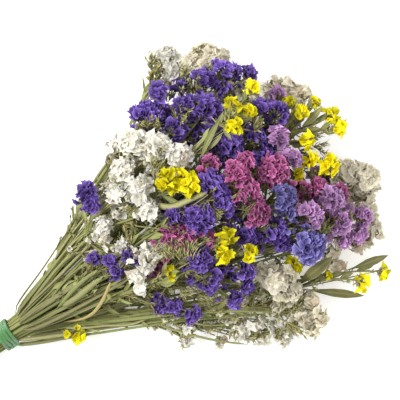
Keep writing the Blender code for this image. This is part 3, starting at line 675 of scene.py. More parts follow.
class Growth(Gathering):
    """Dry green parts in one mesh, placed by seeded chance."""

    def __init__(self, chance):
        super().__init__()
        self.chance = chance

    def scatter(self, spread, count):
        return self.chance.normal(0.0, spread, (count, 3))

    def needles(self, feet, looks, long, wide):
        """Pointed bracts, one at each foot. wide is half their width."""
        u = np.array([0.0, 0.45, 1.0])
        half = np.array([0.5, 1.0, 0.05]) * np.broadcast_to(wide, (len(feet),))[:, None]
        blade = np.zeros((len(feet), 3, 3, 3))
        for k, (side, fold) in enumerate(((-1.0, 0.0), (0.0, 0.06), (1.0, 0.0))):
            blade[:, :, k, 0] = side * half
            blade[:, :, k, 1] = (0.12 * np.sin(u * np.pi) + fold) * long[:, None]
            blade[:, :, k, 2] = u * long[:, None]
        turns = turned_to(looks, self.chance.uniform(0, TURN, len(feet)))
        self.add(set_out(blade, turns, feet), tone=self.chance.random(len(feet)))

    def twigs(self, base, ends, rise=0.0, thick=FINEST):
        """Thin bent twigs from one base to each end. rise is a step that lifts their middles."""
        ends = np.atleast_2d(ends)
        w = np.linspace(0.0, 1.0, 3)[None, :, None]
        bow = ((base + ends) / 2 + rise)[:, None]
        line = (1 - w) ** 2 * base + 2 * w * (1 - w) * bow + w**2 * ends[:, None]
        rings = rings_about(turned_to(ends - base + 1e-9, np.zeros(len(ends))), 3)[:, None]
        self.add(line[:, :, None] + rings * thick, wrap=True, tone=self.chance.random(len(ends)), shade=0.55)

    def lance(self, foot, way, face, long, wide):
        """A small lance-shaped leaf that starts at foot. wide is half its width."""
        t = np.linspace(0.0, 1.0, 9)
        across = np.linspace(-1.0, 1.0, 5)
        outline = np.interp(t, [0, 0.15, 0.45, 0.75, 1.0], [0.15, 0.5, 1.0, 0.75, 0.03])[:, None] * wide
        side = unit(np.cross(way, face))
        up = np.cross(side, way)
        arch = 0.12 * long * np.sin(t * np.pi * self.chance.uniform(0.5, 1.1))
        sway = 0.08 * long * np.sin(t * 2.4 + self.chance.uniform(0, 6))
        cup = (0.3 * across**2 + 0.12 * across * np.sin(9 * t[:, None])) * outline
        points = foot + (t * long)[:, None, None] * way + (outline * across + sway[:, None])[..., None] * side
        points = points + (arch[:, None] + cup)[..., None] * up
        tone = self.chance.uniform(0.0, 0.5)
        for grid in (points, points[:, ::-1] - up * 0.0003):
            self.add(grid, tone=tone, shade=np.array([0.5, 0.25, 0.6, 0.25, 0.5]))


# Florets


def floret_grids(kind, radii, chance):
    """Grids (many, rows, columns, 3) of papery funnels about +Z, each a little different."""
    many = len(radii)
    t = np.array([0.0, 0.4, 0.75, 1.0])[None, :, None]
    a = angles(kind.columns)[None, None, :]
    phase = chance.uniform(0, TURN, (many, 6))[:, :, None, None]
    sway = chance.uniform(0.4, 1.5, (many, 6))[:, :, None, None]
    lobes = np.abs(np.cos(2.5 * (a - phase[:, 0])))
    rim = 1.0 - kind.notch * (1.0 - lobes**0.8) * t**3
    uneven = 1.0 + 0.14 * sway[:, 0] * np.cos(a - phase[:, 1]) * t + 0.1 * np.cos(2 * a + phase[:, 2]) * t
    wave = kind.ruffles * a + phase[:, 5] + 1.2 * np.cos(a + phase[:, 3])
    radius = 0.02 + 0.98 * t ** (1.0 / kind.flare) * rim * uneven
    radius = radius * (1 + kind.ruffle * sway[:, 3] * t * np.cos(wave))
    height = kind.depth * t**0.85 * (1 + 0.12 * sway[:, 1] * np.cos(a - phase[:, 4]) * t)
    height = height + 0.8 * kind.ruffle * sway[:, 4] * t**1.5 * np.sin(wave)
    height = height - kind.roll * sway[:, 2] * t**4 * (1 + np.cos(2 * a + phase[:, 4]))
    squash = chance.uniform(*kind.squash, (many, 1, 1))
    x = radius * np.cos(a)
    y = radius * np.sin(a) * squash
    y = y + (1.0 - squash) * t * (0.45 * x**2 * np.cos(phase[:, 1]) + 0.3 * np.sin(3 * x + phase[:, 2]))
    grids = np.stack(np.broadcast_arrays(x, y, height), axis=-1)
    grids = grids + chance.normal(0.0, kind.crumple, grids.shape) * t[..., None]
    return grids * radii[:, None, None, None]


def cap_places(radius, spacing, chance):
    """Directions spread evenly over a dome about +Z, with a little disorder."""
    area = TURN * radius**2 * (1 - math.cos(DOME_OPENING))
    count = max(4, int(area / (0.8 * spacing**2)))
    k = np.arange(count) + 0.5
    height = 1.0 - (1.0 - math.cos(DOME_OPENING)) * k / count
    turn = k * math.pi * (3.0 - math.sqrt(5.0)) + chance.uniform(0, TURN)
    flat = np.sqrt(np.maximum(0.0, 1.0 - height**2))
    places = np.stack([flat * np.cos(turn), flat * np.sin(turn), height], axis=1)
    return units(places + chance.normal(0.0, 0.07, places.shape))


def comb_places(radius, spacing, chance):
    """Directions in parallel rows over a dome about +Z, and the way each row runs."""
    gap = 1.55 * spacing / radius
    rows = max(2, int(round(1.9 / gap)))
    ways, along = [], []
    for offset in (np.arange(rows) - (rows - 1) / 2) * gap * 0.9:
        offset = float(np.clip(offset, -0.93, 0.93))
        girth = math.sqrt(1 - offset**2)
        reach = DOME_OPENING * chance.uniform(0.75, 1.0)
        count = max(3, int(2 * reach * girth * radius / (0.55 * spacing)))
        turn = np.linspace(-reach, reach, count) + chance.normal(0.0, 0.04, count)
        drift = offset + 0.1 * np.sin(turn * 2 + chance.uniform(0, 6))
        ways.append(np.stack([np.sin(turn) * girth, drift, np.cos(turn) * girth], axis=1))
        along.append(np.stack([np.cos(turn), 0 * turn, -np.sin(turn)], axis=1))
    return units(np.vstack(ways)), np.vstack(along)


def lumps_over(ways, pitch, chance):
    """Soft lumps over a ball: three waves across it, each from its own side."""
    return sum(np.cos(pitch * ways @ unit(chance.normal(size=3)) + chance.uniform(0, 6)) for _ in range(3))


def lumpy_ball(centre, radius, chance):
    """A closed, softly lumped ball of 9 rings."""
    low, turn = np.meshgrid(np.linspace(0.06, math.pi - 0.06, 9), angles(14), indexing="ij")
    ways = np.stack([np.sin(low) * np.cos(turn), np.sin(low) * np.sin(turn), np.cos(low)], axis=-1)
    return centre + ways * (radius * (1 + 0.05 * lumps_over(ways, 5.0, chance)))[..., None]


# Materials


def darker(tint, share):
    return tuple(c * share for c in tint)


def between(a, b, share):
    return tuple((1 - share) * low + share * high for low, high in zip(a, b))


def opaque(shade):
    """A colour, or a number for a grey, with full alpha."""
    return (*shade, 1.0) if isinstance(shade, tuple) else (shade, shade, shade, 1.0)


class Recipe:
    """Helps to write a material's nodes, one call a node."""

    def __init__(self, name):
        self.material = bpy.data.materials.new(name)
        self.material.use_nodes = True
        self.tree = self.material.node_tree
        self.shader = self.tree.nodes["Principled BSDF"]

    def feed(self, socket, value):
        """Gives a socket a value, or a link from another socket."""
        if isinstance(value, bpy.types.NodeSocket):
            self.tree.links.new(value, socket)
        else:
            socket.default_value = value

    def node(self, kind, settings=None, *first, **named):
        """A node with its settings; its inputs are given in order or by name."""
        made = self.tree.nodes.new("ShaderNode" + kind)
        for key, value in (settings or {}).items():
            setattr(made, key, value)
        for key, value in (*enumerate(first), *named.items()):
            self.feed(made.inputs[key], value)
        return made

    def attribute(self, name):
        return self.node("Attribute", {"attribute_name": name}).outputs["Fac"]

    def maths(self, operation, a, b=0.0):
        return self.node("Math", {"operation": operation}, a, b).outputs[0]

    def times(self, a, b):
        return self.maths("MULTIPLY", a, b)

    def scaled(self, value, gain, start):
        return self.maths("ADD", self.times(value, gain), start)

    def ramp(self, factor, *stops):
        """A ramp of colours. A stop is its place and a colour, or a number for a grey."""
        made = self.node("ValToRGB", None, factor)
        points = made.color_ramp.elements
        stops = [(place, opaque(shade)) for place, shade in stops]
        points[0].position, points[0].color = stops[0]
        points[1].position, points[1].color = stops[-1]
        for place, shade in stops[1:-1]:
            points.new(place).color = shade
        return made.outputs[0]

    def mix(self, factor, a, b, blend="MIX"):
        made = self.node("Mix", {"data_type": "RGBA", "blend_type": blend}, factor)
        for socket, value in zip(made.inputs[6:8], (a, b)):
            self.feed(socket, opaque(value) if isinstance(value, tuple) else value)
        return made.outputs[2]

    def tinted(self, base, tint):
        return self.mix(1.0, base, tint, "MULTIPLY")

    def noise(self, scale, detail=3.0, stretch=(1.0, 1.0, 1.0)):
        where = self.node("TexCoord").outputs["Object"]
        where = self.node("Mapping", Vector=where, Scale=stretch).outputs[0]
        return self.node("TexNoise", Vector=where, Scale=scale, Detail=detail, Roughness=0.55).outputs[0]

    def pattern(self):
        return self.node("UVMap", {"uv_map": "Pattern"}).outputs[0]

    def finish(self, colour, roughness, bump=None, strength=0.3, distance=0.0006, through=0.0):
        self.feed(self.shader.inputs["Base Color"], colour)
        self.feed(self.shader.inputs["Roughness"], roughness)
        if bump is not None:
            lift = self.node("Bump", Height=bump, Strength=strength, Distance=distance)
            self.feed(self.shader.inputs["Normal"], lift.outputs[0])
        if through:
            glow = self.node("BsdfTranslucent", Color=colour)
            both = self.node("MixShader", None, through, self.shader.outputs[0], glow.outputs[0])
            self.feed(self.tree.nodes["Material Output"].inputs[0], both.outputs[0])
        return self.material


def petal_material(name):
    """A papery petal: pale rim and dark throat, each partly its own colour and partly painted light (painted
    shade in the throat, a painted highlight at the rim), veins towards the rim and a few dried florets.
    """
    kind, tints = KINDS[name], bpy.context.scene.statice_colours
    throat, rim = (tuple(getattr(tints, f"{name}_{end}")) for end in ("throat", "rim"))
    work = Recipe("papery_petals_" + name)
    pale = kind.withered is not None
    rare = 0.955 if pale else 0.985
    inner_share, outer_share = (0.38, 0.6) if pale else (0.3, 0.5)
    low, high = (0.88, 1.06) if pale else (0.55, 1.35)
    shade, tone = work.attribute("shade"), work.attribute("tone")
    middle, outer = between(throat, rim, inner_share), between(throat, rim, outer_share)
    # The floret's own colours mixed with painted light: the dark throat is partly painted shade deep in the
    # funnel, and the bright last stretch at the rim is partly a painted highlight on the edges
    base = work.ramp(shade, (0.1, throat), (0.5, middle), (0.8, outer), (1.0, rim))
    base = work.mix(work.times(work.noise(420.0, 4.0), kind.mottling), base, darker(rim, 0.5))
    level = work.ramp(tone, (0.0, (low, low, low * 1.03)), (0.94, (high, high, high * 0.96)))
    base = work.tinted(base, level)
    split = work.node("SeparateXYZ", None, work.pattern())
    right, up = (work.maths("SUBTRACT", split.outputs[k], 0.5) for k in (0, 1))
    vein = work.maths("SINE", work.times(work.maths("ARCTAN2", up, right), 15.0))
    base = work.tinted(base, work.ramp(work.times(vein, shade), (0.0, 1.0), (0.9, (0.8, 0.8, 0.84))))
    dry = work.ramp(tone, (rare, 0.0), (rare + 0.01, 1.0))
    speck = work.times(work.noise(300.0, 2.0), 1.3)
    base = work.mix(work.times(dry, speck), base, kind.withered or darker(rim, 0.35))
    grain = work.noise(900.0, 5.0)
    relief = work.maths("ADD", grain, work.times(vein, 0.3))
    work.shader.inputs["Specular IOR Level"].default_value = 0.15
    return work.finish(base, work.scaled(grain, 0.25, 0.6), relief, 0.35, 0.0004, through=0.25)


def stem_material(greens):
    work = Recipe("dry_winged_stem")
    dark = tuple(greens.stem_dark)
    base = work.mix(work.attribute("shade"), dark, tuple(greens.stem_light))
    streak = work.noise(60.0, 4.0, stretch=(0.12, 1.0, 1.0))
    base = work.mix(work.times(streak, 0.6), base, darker(dark, 0.8))
    yellowed = ((0.0, (0.85, 0.95, 0.8)), (0.5, 1.0), (1.0, (1.08, 1.04, 0.85)))
    base = work.tinted(base, work.ramp(work.attribute("tone"), *yellowed))
    fleck = work.noise(500.0)
    base = work.mix(work.ramp(fleck, (0.6, 0.0), (0.8, 0.6)), base, (0.30, 0.22, 0.10))
    return work.finish(base, work.scaled(fleck, 0.3, 0.55), fleck, 0.4)


def bract_material(greens):
    work = Recipe("dry_bracts")
    dark = tuple(greens.bract_dark)
    base = work.ramp(work.attribute("shade"), (0.0, dark), (1.0, tuple(greens.bract_light)))
    dry = ((0.0, (0.7, 0.85, 0.55)), (0.6, 1.0), (1.0, (1.35, 1.15, 0.95)))
    base = work.tinted(base, work.ramp(work.attribute("tone"), *dry))
    fleck = work.noise(600.0)
    base = work.mix(work.times(fleck, 0.5), base, darker(dark, 0.7))
    return work.finish(base, work.scaled(fleck, 0.25, 0.6), fleck, through=0.12)


def leaf_material(greens):
    work = Recipe("dry_leaf")
    base = work.mix(work.attribute("shade"), tuple(greens.leaf_dark), tuple(greens.leaf_light))
    cloud = work.ramp(work.noise(110.0, 5.0), (0.45, 0.0), (0.75, 0.7))
    base = work.mix(cloud, base, (0.24, 0.20, 0.07))
    fine = work.noise(700.0, 4.0, stretch=(0.3, 1.0, 1.0))
    return work.finish(base, work.scaled(fine, 0.3, 0.5), fine, 0.5, through=0.1)


def band_material(greens):
    work = Recipe("soft_tie")
    green = tuple(greens.band)
    bands = {"wave_type": "BANDS", "bands_direction": "X"}
    weave = work.node("TexWave", bands, work.pattern(), Scale=60.0, Distortion=1.5, Detail=2.0).outputs[1]
    fuzz = work.noise(900.0, 4.0)
    base = work.mix(work.times(weave, 0.5), green, darker(green, 0.6))
    base = work.mix(work.times(fuzz, 0.4), base, (0.11, 0.29, 0.09))
    work.shader.inputs["Sheen Weight"].default_value = 0.3
    return work.finish(base, work.scaled(fuzz, 0.2, 0.6), weave, 0.5, 0.0003)


def table_material(greens):
    work = Recipe("pale_table")
    pale = tuple(greens.table)
    base = work.mix(work.times(work.noise(40.0, 2.0), 0.02), pale, darker(pale, 0.96))
    work.feed(work.shader.inputs["Emission Color"], base)
    work.shader.inputs["Emission Strength"].default_value = 0.4
    return work.finish(base, 0.8)


MATERIALS = {
    "stem": stem_material,
    "bract": bract_material,
    "leaf": leaf_material,
    "band": band_material,
    "table": table_material,
}
MADE = {}


def material(kind):
    """A material of this bunch, made when it is first asked for."""
    if kind not in MADE and kind in MATERIALS:
        MADE[kind] = MATERIALS[kind](bpy.context.scene.statice_greens)
    elif kind not in MADE:
        MADE[kind] = petal_material(kind)
    return MADE[kind]


# One spray


class Spray(Growth):
    """A spray of the frame while it is dressed: its green parts, and its petals beside them."""

    def __init__(self, name, chance):
        super().__init__(chance)
        self.name = name
        self.short = name.split("_", 1)[1]
        self.colour = self.short.split("_")[0]
        self.kind = KINDS[self.colour]
        self.size = getattr(bpy.context.scene.statice_florets, self.colour)
        self.heads, self.fork = read_spray(name)
        self.stem = stem_of(name)
        self.petals = Gathering()
        self.brushes = []
        self.level = 0.5

    def grow(self):
        """All that stands on this spray."""
        for head in self.heads:
            line = resampled(np.vstack([head.stalk, head.centre - head.look * 0.55 * head.radius]), 14)
            thick = np.linspace(0.0013, 0.0008, len(line))
            self.add(tube(line, thick, 6), wrap=True, tone=self.chance.random(), shade=0.25)
            self.new_level()
            self.bristle(line)
            self.dress(head)
            self.line_florets(head, line)
            up = reading_up(head.centre)
            for _ in range(3 if up < LOW_HEAD else 2 if up < MIDDLE_HEAD else 1):
                self.strand(head)
            if self.colour == "yellow":
                self.wings(line)
        self.infill()
        # Painted shade: the greens of deep-coloured sprays are darkened, standing in for the shade in the
        # crevices between their heads
        if self.colour not in ("white", "cream", "yellow"):
            self.shades = [DEEP_SPRAY_PAINTED_SHADE * shade for shade in self.shades]
        for spot in FILL.get(self.short, ()):
            self.tuft(reading(*spot), FILL_FLORETS)
        for spot in self.brushes:
            self.brush(spot)
        if self.short == "pink_3a":
            self.fan()
        for start, end, opening in SHEATHS.get(self.short, ()):
            self.sheath(reading(*start), reading(*end), opening)
        for wide, tone, light, *places in STRAPS.get(self.short, ()):
            self.strap(wide, tone, light, places)
        for start, end, wide in RIBBONS.get(self.short, ()):
            foot, step = reading(*start), reading(*end) - reading(*start)
            self.lance(foot, unit(step), UP, np.linalg.norm(step), wide)
        knot = np.linspace(self.fork - [0.002, 0, 0], self.fork + [0.002, 0, 0], 5)
        self.add(tube(knot, 0.0015 * np.array([0.5, 1, 1.1, 1, 0.5]), 8), wrap=True, tone=0.4)

    def new_level(self):
        """The usual tone of the florets to come."""
        self.level = self.chance.uniform(0.25, 0.75)

    def floret_tones(self, count):
        """Tones near the usual one, with a few that stand out."""
        tones = np.clip(self.level + self.chance.normal(0.0, 0.17, count), 0.0, 0.93)
        return np.where(self.chance.random(count) < 0.06, self.chance.uniform(0.94, 1.0, count), tones)

    def florets(self, throats, looks, radii, heart, along=None):
        """Funnels at the throats, each with a narrow tube towards the heart and pointed bracts round it."""
        count = len(radii)
        turns = turned_to(looks, self.chance.uniform(0, TURN, count))
        grids = floret_grids(self.kind, radii, self.chance)
        if along is not None:
            thin = units(along - looks * (along * looks).sum(axis=1, keepdims=True) + 1e-9)
            turns = np.stack([np.cross(thin, looks), thin, looks], axis=2)
        self.petals.add(set_out(grids, turns, throats), wrap=True, tone=self.floret_tones(count), polar=True)
        inward = heart - throats
        far = np.linalg.norm(inward, axis=1, keepdims=True) + 1e-9
        ends = throats + inward / far * np.minimum(far * 0.8, 0.007)
        line = np.stack([throats, ends], axis=1)[:, :, None]
        rings = rings_about(turns, 4)[:, None] * np.array([0.0009, 0.0004])[:, None, None]
        self.add(line + rings, wrap=True, tone=self.chance.random(count), shade=np.array([[0.9], [0.3]]))
        each = 2 if count > 12 else 3
        feet = np.repeat(ends + (throats - ends) * 0.3, each, axis=0)
        onto = np.repeat(looks, each, axis=0) + self.scatter(0.42, count * each)
        long = bpy.context.scene.statice_greens.bract_length * self.chance.uniform(0.6, 1.2, count * each)
        self.needles(feet, onto, long, 0.0007 * self.chance.uniform(0.7, 1.3, count * each))

    def dress(self, head):
        """Florets over the dome of one head, with tubes, bracts and twigs below them."""
        kind, chance = self.kind, self.chance
        size = min(self.size, 0.72 * head.radius)
        spacing = kind.spacing * size * (1.15 if head.centre[2] < UNDERSIDE else 1.0)
        dome = head.radius * kind.swell - 0.4 * size
        to_row = turned_to(head.look[None], chance.uniform(0, TURN, 1))[0].T
        along = None
        if head.radius > COMB_LEAST and chance.random() < kind.comb:
            ways, along = (rows @ to_row for rows in comb_places(head.radius, spacing, chance))
        else:
            ways = cap_places(head.radius, spacing, chance) @ to_row
        count = len(ways)
        jitter = kind.jitter * (0.4 if along is not None else 1.0)
        looks = units(kind.face * ways + kind.onward * head.look + self.scatter(jitter, count))
        radii = size * chance.uniform(0.7, 1.15, count)
        lumps = lumps_over(ways, 3.5, chance)
        uneven = 0.22 if self.colour == "yellow" else 0.08
        rise = (0.95 + 0.07 * lumps + chance.uniform(-uneven, uneven, count))[:, None]
        throats = head.centre + ways * dome * rise - looks * 0.5 * radii[:, None]
        base = head.centre - head.look * 0.8 * head.radius
        self.florets(throats, looks, radii, head.centre - head.look * 0.45 * head.radius, along)
        # For deep colours the heart is a dark ball of painted shade in the gaps between florets; for white
        # and cream it is a pale filler
        if kind.heart:
            below, shade = kind.heart
            ball = lumpy_ball(head.centre, max(0.3 * head.radius, dome - below * size), chance)
            self.petals.add(ball[:, ::-1], wrap=True, tone=0.5, shade=shade)
        self.twigs(base, throats - looks * 0.003, head.look * 0.1 * head.radius)
        spines = int(6 + head.radius * 1500)
        onto = head.look * 0.9 + self.scatter(0.5, spines)
        feet = base + head.look * head.radius * chance.uniform(-0.1, 0.5, (spines, 1)) + onto * 0.001
        self.needles(feet, onto, head.radius * chance.uniform(0.4, 0.8, spines), 0.0006)

    def line_florets(self, head, line):
        """Single florets in two rows along the upper side of a head's stalk."""
        chance = self.chance
        share = self.kind.on_stalks * np.clip((head.radius - 0.005) / 0.006, 0.0, 1.0)
        count = int(share * np.linalg.norm(np.diff(line, axis=0), axis=1).sum() / (0.8 * self.size))
        if not count:
            return
        feet = places_on(line, chance.uniform(0.42, 0.86, count))
        side = np.cross(head.look, UP)
        side = side * chance.choice([-1.0, 1.0], count)[:, None] * chance.uniform(0.2, 1.0, count)[:, None]
        looks = units(0.5 * head.look + side + 0.55 * UP + self.scatter(0.2, count))
        radii = self.size * chance.uniform(0.6, 0.95, count)
        throats = feet + looks * chance.uniform(0.003, 0.008, count)[:, None]
        self.florets(throats, looks, radii, feet)

    def brush(self, spot):
        """Dry bracts on a few short twigs that part from one longer twig."""
        way = unit(unit(spot - self.fork) + 0.4 * RIGHTWARD + 0.3 * UPWARD)
        self.twigs(self.fork, spot, 0.004 * UP, STOUT)
        ends = spot + (way + self.scatter(0.5, 5)) * self.chance.uniform(0.006, 0.014, (5, 1))
        ends[:, 2] = np.maximum(ends[:, 2], LOWEST_TIP)
        self.twigs(spot, ends, thick=FINE)
        count = 44
        share = self.chance.uniform(0.1, 1.0, (count, 1))
        feet = spot + (ends[self.chance.integers(0, 5, count)] - spot) * share
        onto = way + self.scatter(0.5, count)
        self.needles(feet, onto, self.chance.uniform(0.004, 0.009, count), 0.0008)

    def sheath(self, start, end, opening):
        """A twig that ends in a cone of overlapping dry bracts."""
        self.twigs(self.fork, start, 0.003 * UP, STOUT)
        self.twigs(start, end, thick=STOUT)
        count = 90
        share = self.chance.uniform(0.0, 0.85, (count, 1))
        spread = self.scatter(0.5, count)
        feet = start + (end - start) * share + spread * opening * share
        feet[:, 2] = np.maximum(feet[:, 2], LOWEST_TIP)
        onto = unit(end - start) + 0.5 * spread + self.scatter(0.15, count)
        self.needles(feet, onto, self.chance.uniform(0.005, 0.010, count), 0.0011)

    def strap(self, wide, tone, light, places):
        """A long flat stalk that curves through the places."""
        path = smoothed(resampled(np.array([reading(*place) for place in places]), 24), 8)
        reach = wide * np.interp(np.linspace(0, 1, 24), [0, 0.08, 0.5, 0.92, 1], [0.4, 0.9, 1.0, 0.8, 0.2])
        grid = tube(path, reach, 6, np.array([1, 0.3, 0.3, 1, 0.3, 0.3]))
        self.add(grid, wrap=True, tone=tone, shade=light * np.array([1.1, 0.8, 0.8, 1.1, 0.8, 0.8]))

    def fan(self):
        """Rows of bracts under the two highest heads, which show their lower side."""
        count = 70
        for head in sorted(self.heads, key=lambda one: -one.centre[2])[:2]:
            below = self.chance.uniform(0.003, 0.019, count)[:, None]
            aside = self.chance.normal(0.0, 0.35, count)[:, None]
            feet = head.centre - UPWARD * below + RIGHTWARD * aside * (0.006 + below)
            feet[:, 2] += 0.002 + 0.35 * (0.02 - below[:, 0])
            onto = UPWARD + RIGHTWARD * aside * 1.6 + self.scatter(0.25, count) + 0.3 * UP
            self.needles(feet, onto, self.chance.uniform(0.005, 0.009, count), 0.0008)
            self.twigs(head.stalk[-1], feet[::3], thick=FINE)

    def bristle(self, line):
        """Pointed bracts all along a stalk."""
        count = 12
        along = self.chance.uniform(0.2, 0.97, count)
        feet = places_on(line, along)
        onto = places_on(line, along + 0.05) - feet
        onto = onto / (np.linalg.norm(onto, axis=1, keepdims=True) + 1e-9) + self.scatter(0.45, count)
        self.needles(feet, onto, self.chance.uniform(0.004, 0.009, count), 0.0007)

    def infill(self):
        """Small tufts on twigs between the heads, further down in the spray."""
        heads, chance = self.heads, self.chance
        centres = np.array([h.centre for h in heads])
        full = np.clip((np.mean([h.radius for h in heads]) - 0.006) / 0.006, 0.0, 1.0)
        for _ in range(int(round(self.kind.tufts * full * len(heads)))):
            pick = chance.choice(len(heads), min(2, len(heads)), replace=False)
            middle = centres[pick].mean(axis=0) + chance.normal(0.0, 0.005, 3)
            middle = middle + (self.fork - middle) * chance.uniform(0.1, 0.4)
            self.tuft(middle, int(chance.integers(3, 7)))

    def tuft(self, middle, count):
        """A few florets and bracts at the end of a twig from the fork."""
        middle[2] = max(0.006, middle[2])
        way = unit(0.5 * unit(np.mean([h.look for h in self.heads], axis=0)) + unit(middle - self.fork))
        looks = units(way + self.scatter(0.55, count) + 0.3 * UP)
        radii = self.size * self.chance.uniform(0.65, 0.95, count)
        throats = middle + looks * self.chance.uniform(0.003, 0.007 + 0.0005 * count, count)[:, None]
        base = middle - way * 0.004
        self.new_level()
        self.florets(throats, looks, radii, base)
        self.twigs(self.fork, base, 0.004 * UP, STOUT)

    def strand(self, head):
        """A thin winged side stem that leaves the main stem low down and runs up to a head."""
        chance, stem, fork = self.chance, self.stem, self.fork
        early = chance.random() < 0.45
        begin = 0.0 if early else chance.uniform(0.12, 0.6)
        low = BAND_MIDDLE.x + 0.018 + begin * max(0.0, fork[0] - BAND_MIDDLE.x - 0.03)
        up_stem = places_on(stem, np.linspace(low, min(fork[0], stem[-1, 0]), 6), stem[:, 0])
        end = head.centre - head.look * 0.7 * head.radius
        path = smoothed(resampled(np.vstack([up_stem, head.stalk[len(head.stalk) // 2], end]), 26), 40)
        t = np.linspace(0.0, 1.0, len(path))
        bow = np.sin(np.pi * t) ** 0.7
        away = chance.normal(0.0, 1.0, 3) * np.array([0.2, 1.0, 0.8])
        if reading_up(head.centre) < 60 and away @ UPWARD < 0:
            away = -away
        reach = chance.uniform(0.002, 0.016)
        if early:
            away = 0.3 * away + unit(path[5] - np.array([path[5, 0], BAND_MIDDLE.y, 0.018]))
            bow = np.sin(np.pi * np.sqrt(t)) ** 0.8
            reach = chance.uniform(0.003, 0.010)
        wobble = np.stack([0 * t, np.sin(9 * t + chance.uniform(0, 6)), np.cos(7 * t)], axis=1)
        path = path + unit(away) * (reach * bow)[:, None] + wobble * 0.0006 * bow[:, None]
        path[:, 2] = np.clip(path[:, 2], 0.0016, CAD_BOX[1][2] - 0.004)
        wide = np.interp(t, [0, 0.08, 0.6, 1.0], [0.4, 1.0, 0.8, 0.5]) * chance.uniform(0.0009, 0.0021)
        grid = tube(path, wide, 6, np.array([1.0, 0.35, 0.45, 1.0, 0.35, 0.45]))
        # The strand's edges are lighter, and the painted shadow near the band darkens it
        shade = np.array([0.9, 0.45, 0.45, 0.9, 0.45, 0.45]) * painted_neck_shadow(path)[:, None]
        self.add(grid, wrap=True, tone=0.65 * chance.random(), shade=shade)
        self.side_tufts(path)

    def side_tufts(self, path):
        """Short side twigs with dried bracts, and some with a small floret, on the upper half of a strand."""
        chance = self.chance
        for spot in chance.integers(11, 24, int(chance.integers(4, 8))):
            here = path[spot]
            onward = unit(path[spot + 1] - path[spot - 1])
            way = unit(onward + chance.normal(0.0, 0.5, 3) + 0.2 * UP)
            end = here + way * chance.uniform(0.004, 0.013)
            end[2] = max(LOWEST_TIP, end[2])
            self.twigs(here, end, thick=THIN)
            count = int(chance.integers(4, 9))
            feet, onto = np.tile(end, (count, 1)), way + self.scatter(0.45, count)
            self.needles(feet, onto, chance.uniform(0.003, 0.0075, count), 0.0007)
            if chance.random() < self.kind.buds:
                radii = 0.0042 * chance.uniform(0.7, 1.2, 3)
                looks = units(way + self.scatter(0.45, 3))
                self.florets(end + looks * 0.001, looks, radii, here)

    def wings(self, line):
        """Lance-shaped wings along a yellow head's stalk."""
        chance = self.chance
        for share in (0.35, 0.62, 0.82):
            if chance.random() < 0.75:
                spot = int(share * (len(line) - 1))
                onward = unit(line[spot + 1] - line[spot - 1])
                side = unit(np.cross(onward, UP)) * chance.choice([-1.0, 1.0])
                way = unit(onward + 0.45 * side + chance.uniform(-0.1, 0.3) * UP)
                self.lance(line[spot], way, UP, chance.uniform(0.012, 0.022), 0.0026)


# Operators


def placed(piece, slot, *nodes):
    """Rides the piece on the bunch and hides the frame nodes it stands for."""
    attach(piece, "root")
    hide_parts(*nodes)


class STATICE_OT_stems(bpy.types.Operator):
    """Winged, slightly wavy stems along the lines of the frame, cut square at their lower ends"""

    bl_idname = "statice.stems"
    bl_label = "Winged Stems"

    def execute(self, context):
        greens = context.scene.statice_greens
        columns = 12
        for number, name in enumerate(nodes_named("stem_")):
            chance = np.random.default_rng(STEM_SEED + number)
            line = stem_line(name)
            widest = line[:, 3].max()
            low, high = line[[0, -1], 0]
            stations = np.linspace(low, high, int((high - low) / STATION_GAP))
            middle = smoothed(places_on(line, stations, line[:, 0]), 6)
            slim = np.interp(stations, line[:, 0], line[:, 3]) / widest
            free = np.clip((stations - BAND_MIDDLE.x - 0.012) / 0.03, 0.0, 1.0)
            wings = 3 if chance.random() < 0.5 else 4
            twist = chance.uniform(-9, 9) * (stations - stations[0]) ** 2 * 4 + chance.uniform(0, 6)
            ridge = np.abs(np.cos(wings * (angles(columns) + twist[:, None]) / 2)) ** 4
            ripple = 1 + 0.2 * np.sin(stations * chance.uniform(90, 160) + chance.uniform(0, 6)) * free
            full = greens.wing_reach * slim * (0.72 + 0.28 * free) * ripple
            core = greens.stem_core * (0.75 + 0.25 * slim)
            reach = core[:, None] + (np.minimum(full, widest) - core)[:, None] * ridge
            points = tube(middle, 1.0, columns, reach)
            growth = Growth(chance)
            # The wing edges are lighter, and the painted shadow near the band darkens the stem
            growth.add(points, wrap=True, tone=chance.random(), shade=ridge * painted_neck_shadow(middle)[:, None])
            self.shoots(middle, growth)
            for end, step in ((0, 1), (-1, -1)):
                ring, hollow = points[end], middle[end] + (middle[end + step] - middle[end]) * 0.3
                disc = np.array([ring, 0.5 * ring + 0.5 * hollow, np.tile(hollow, (columns, 1))])
                growth.add(disc[::step], wrap=True, tone=0.95, shade=np.array([[0.4], [0.9], [0.7]]))
            placed(growth.mesh_object("winged_" + name, "stem"), "stem_green", name)
        return {"FINISHED"}

    def shoots(self, middle, growth):
        """Small lance-shaped leaves on the upper part of a stem."""
        chance = growth.chance
        first = int(np.searchsorted(middle[:, 0], BAND_MIDDLE.x + 0.06))
        for spot in range(first, len(middle) - 3, 3):
            if chance.random() < 0.3:
                continue
            way = unit(unit(middle[spot + 1] - middle[spot - 1]) + chance.normal(0.0, 0.4, 3))
            if middle[spot, 2] + way[2] * 0.03 < 0.004:
                way = unit(way * [1.0, 1.0, 0.0] + 0.1 * UP)
            long = chance.uniform(0.012, 0.034)
            face = unit(chance.normal(0, 0.5, 3) + UP)
            growth.lance(middle[spot], way, face, long, chance.uniform(0.0012, 0.003))


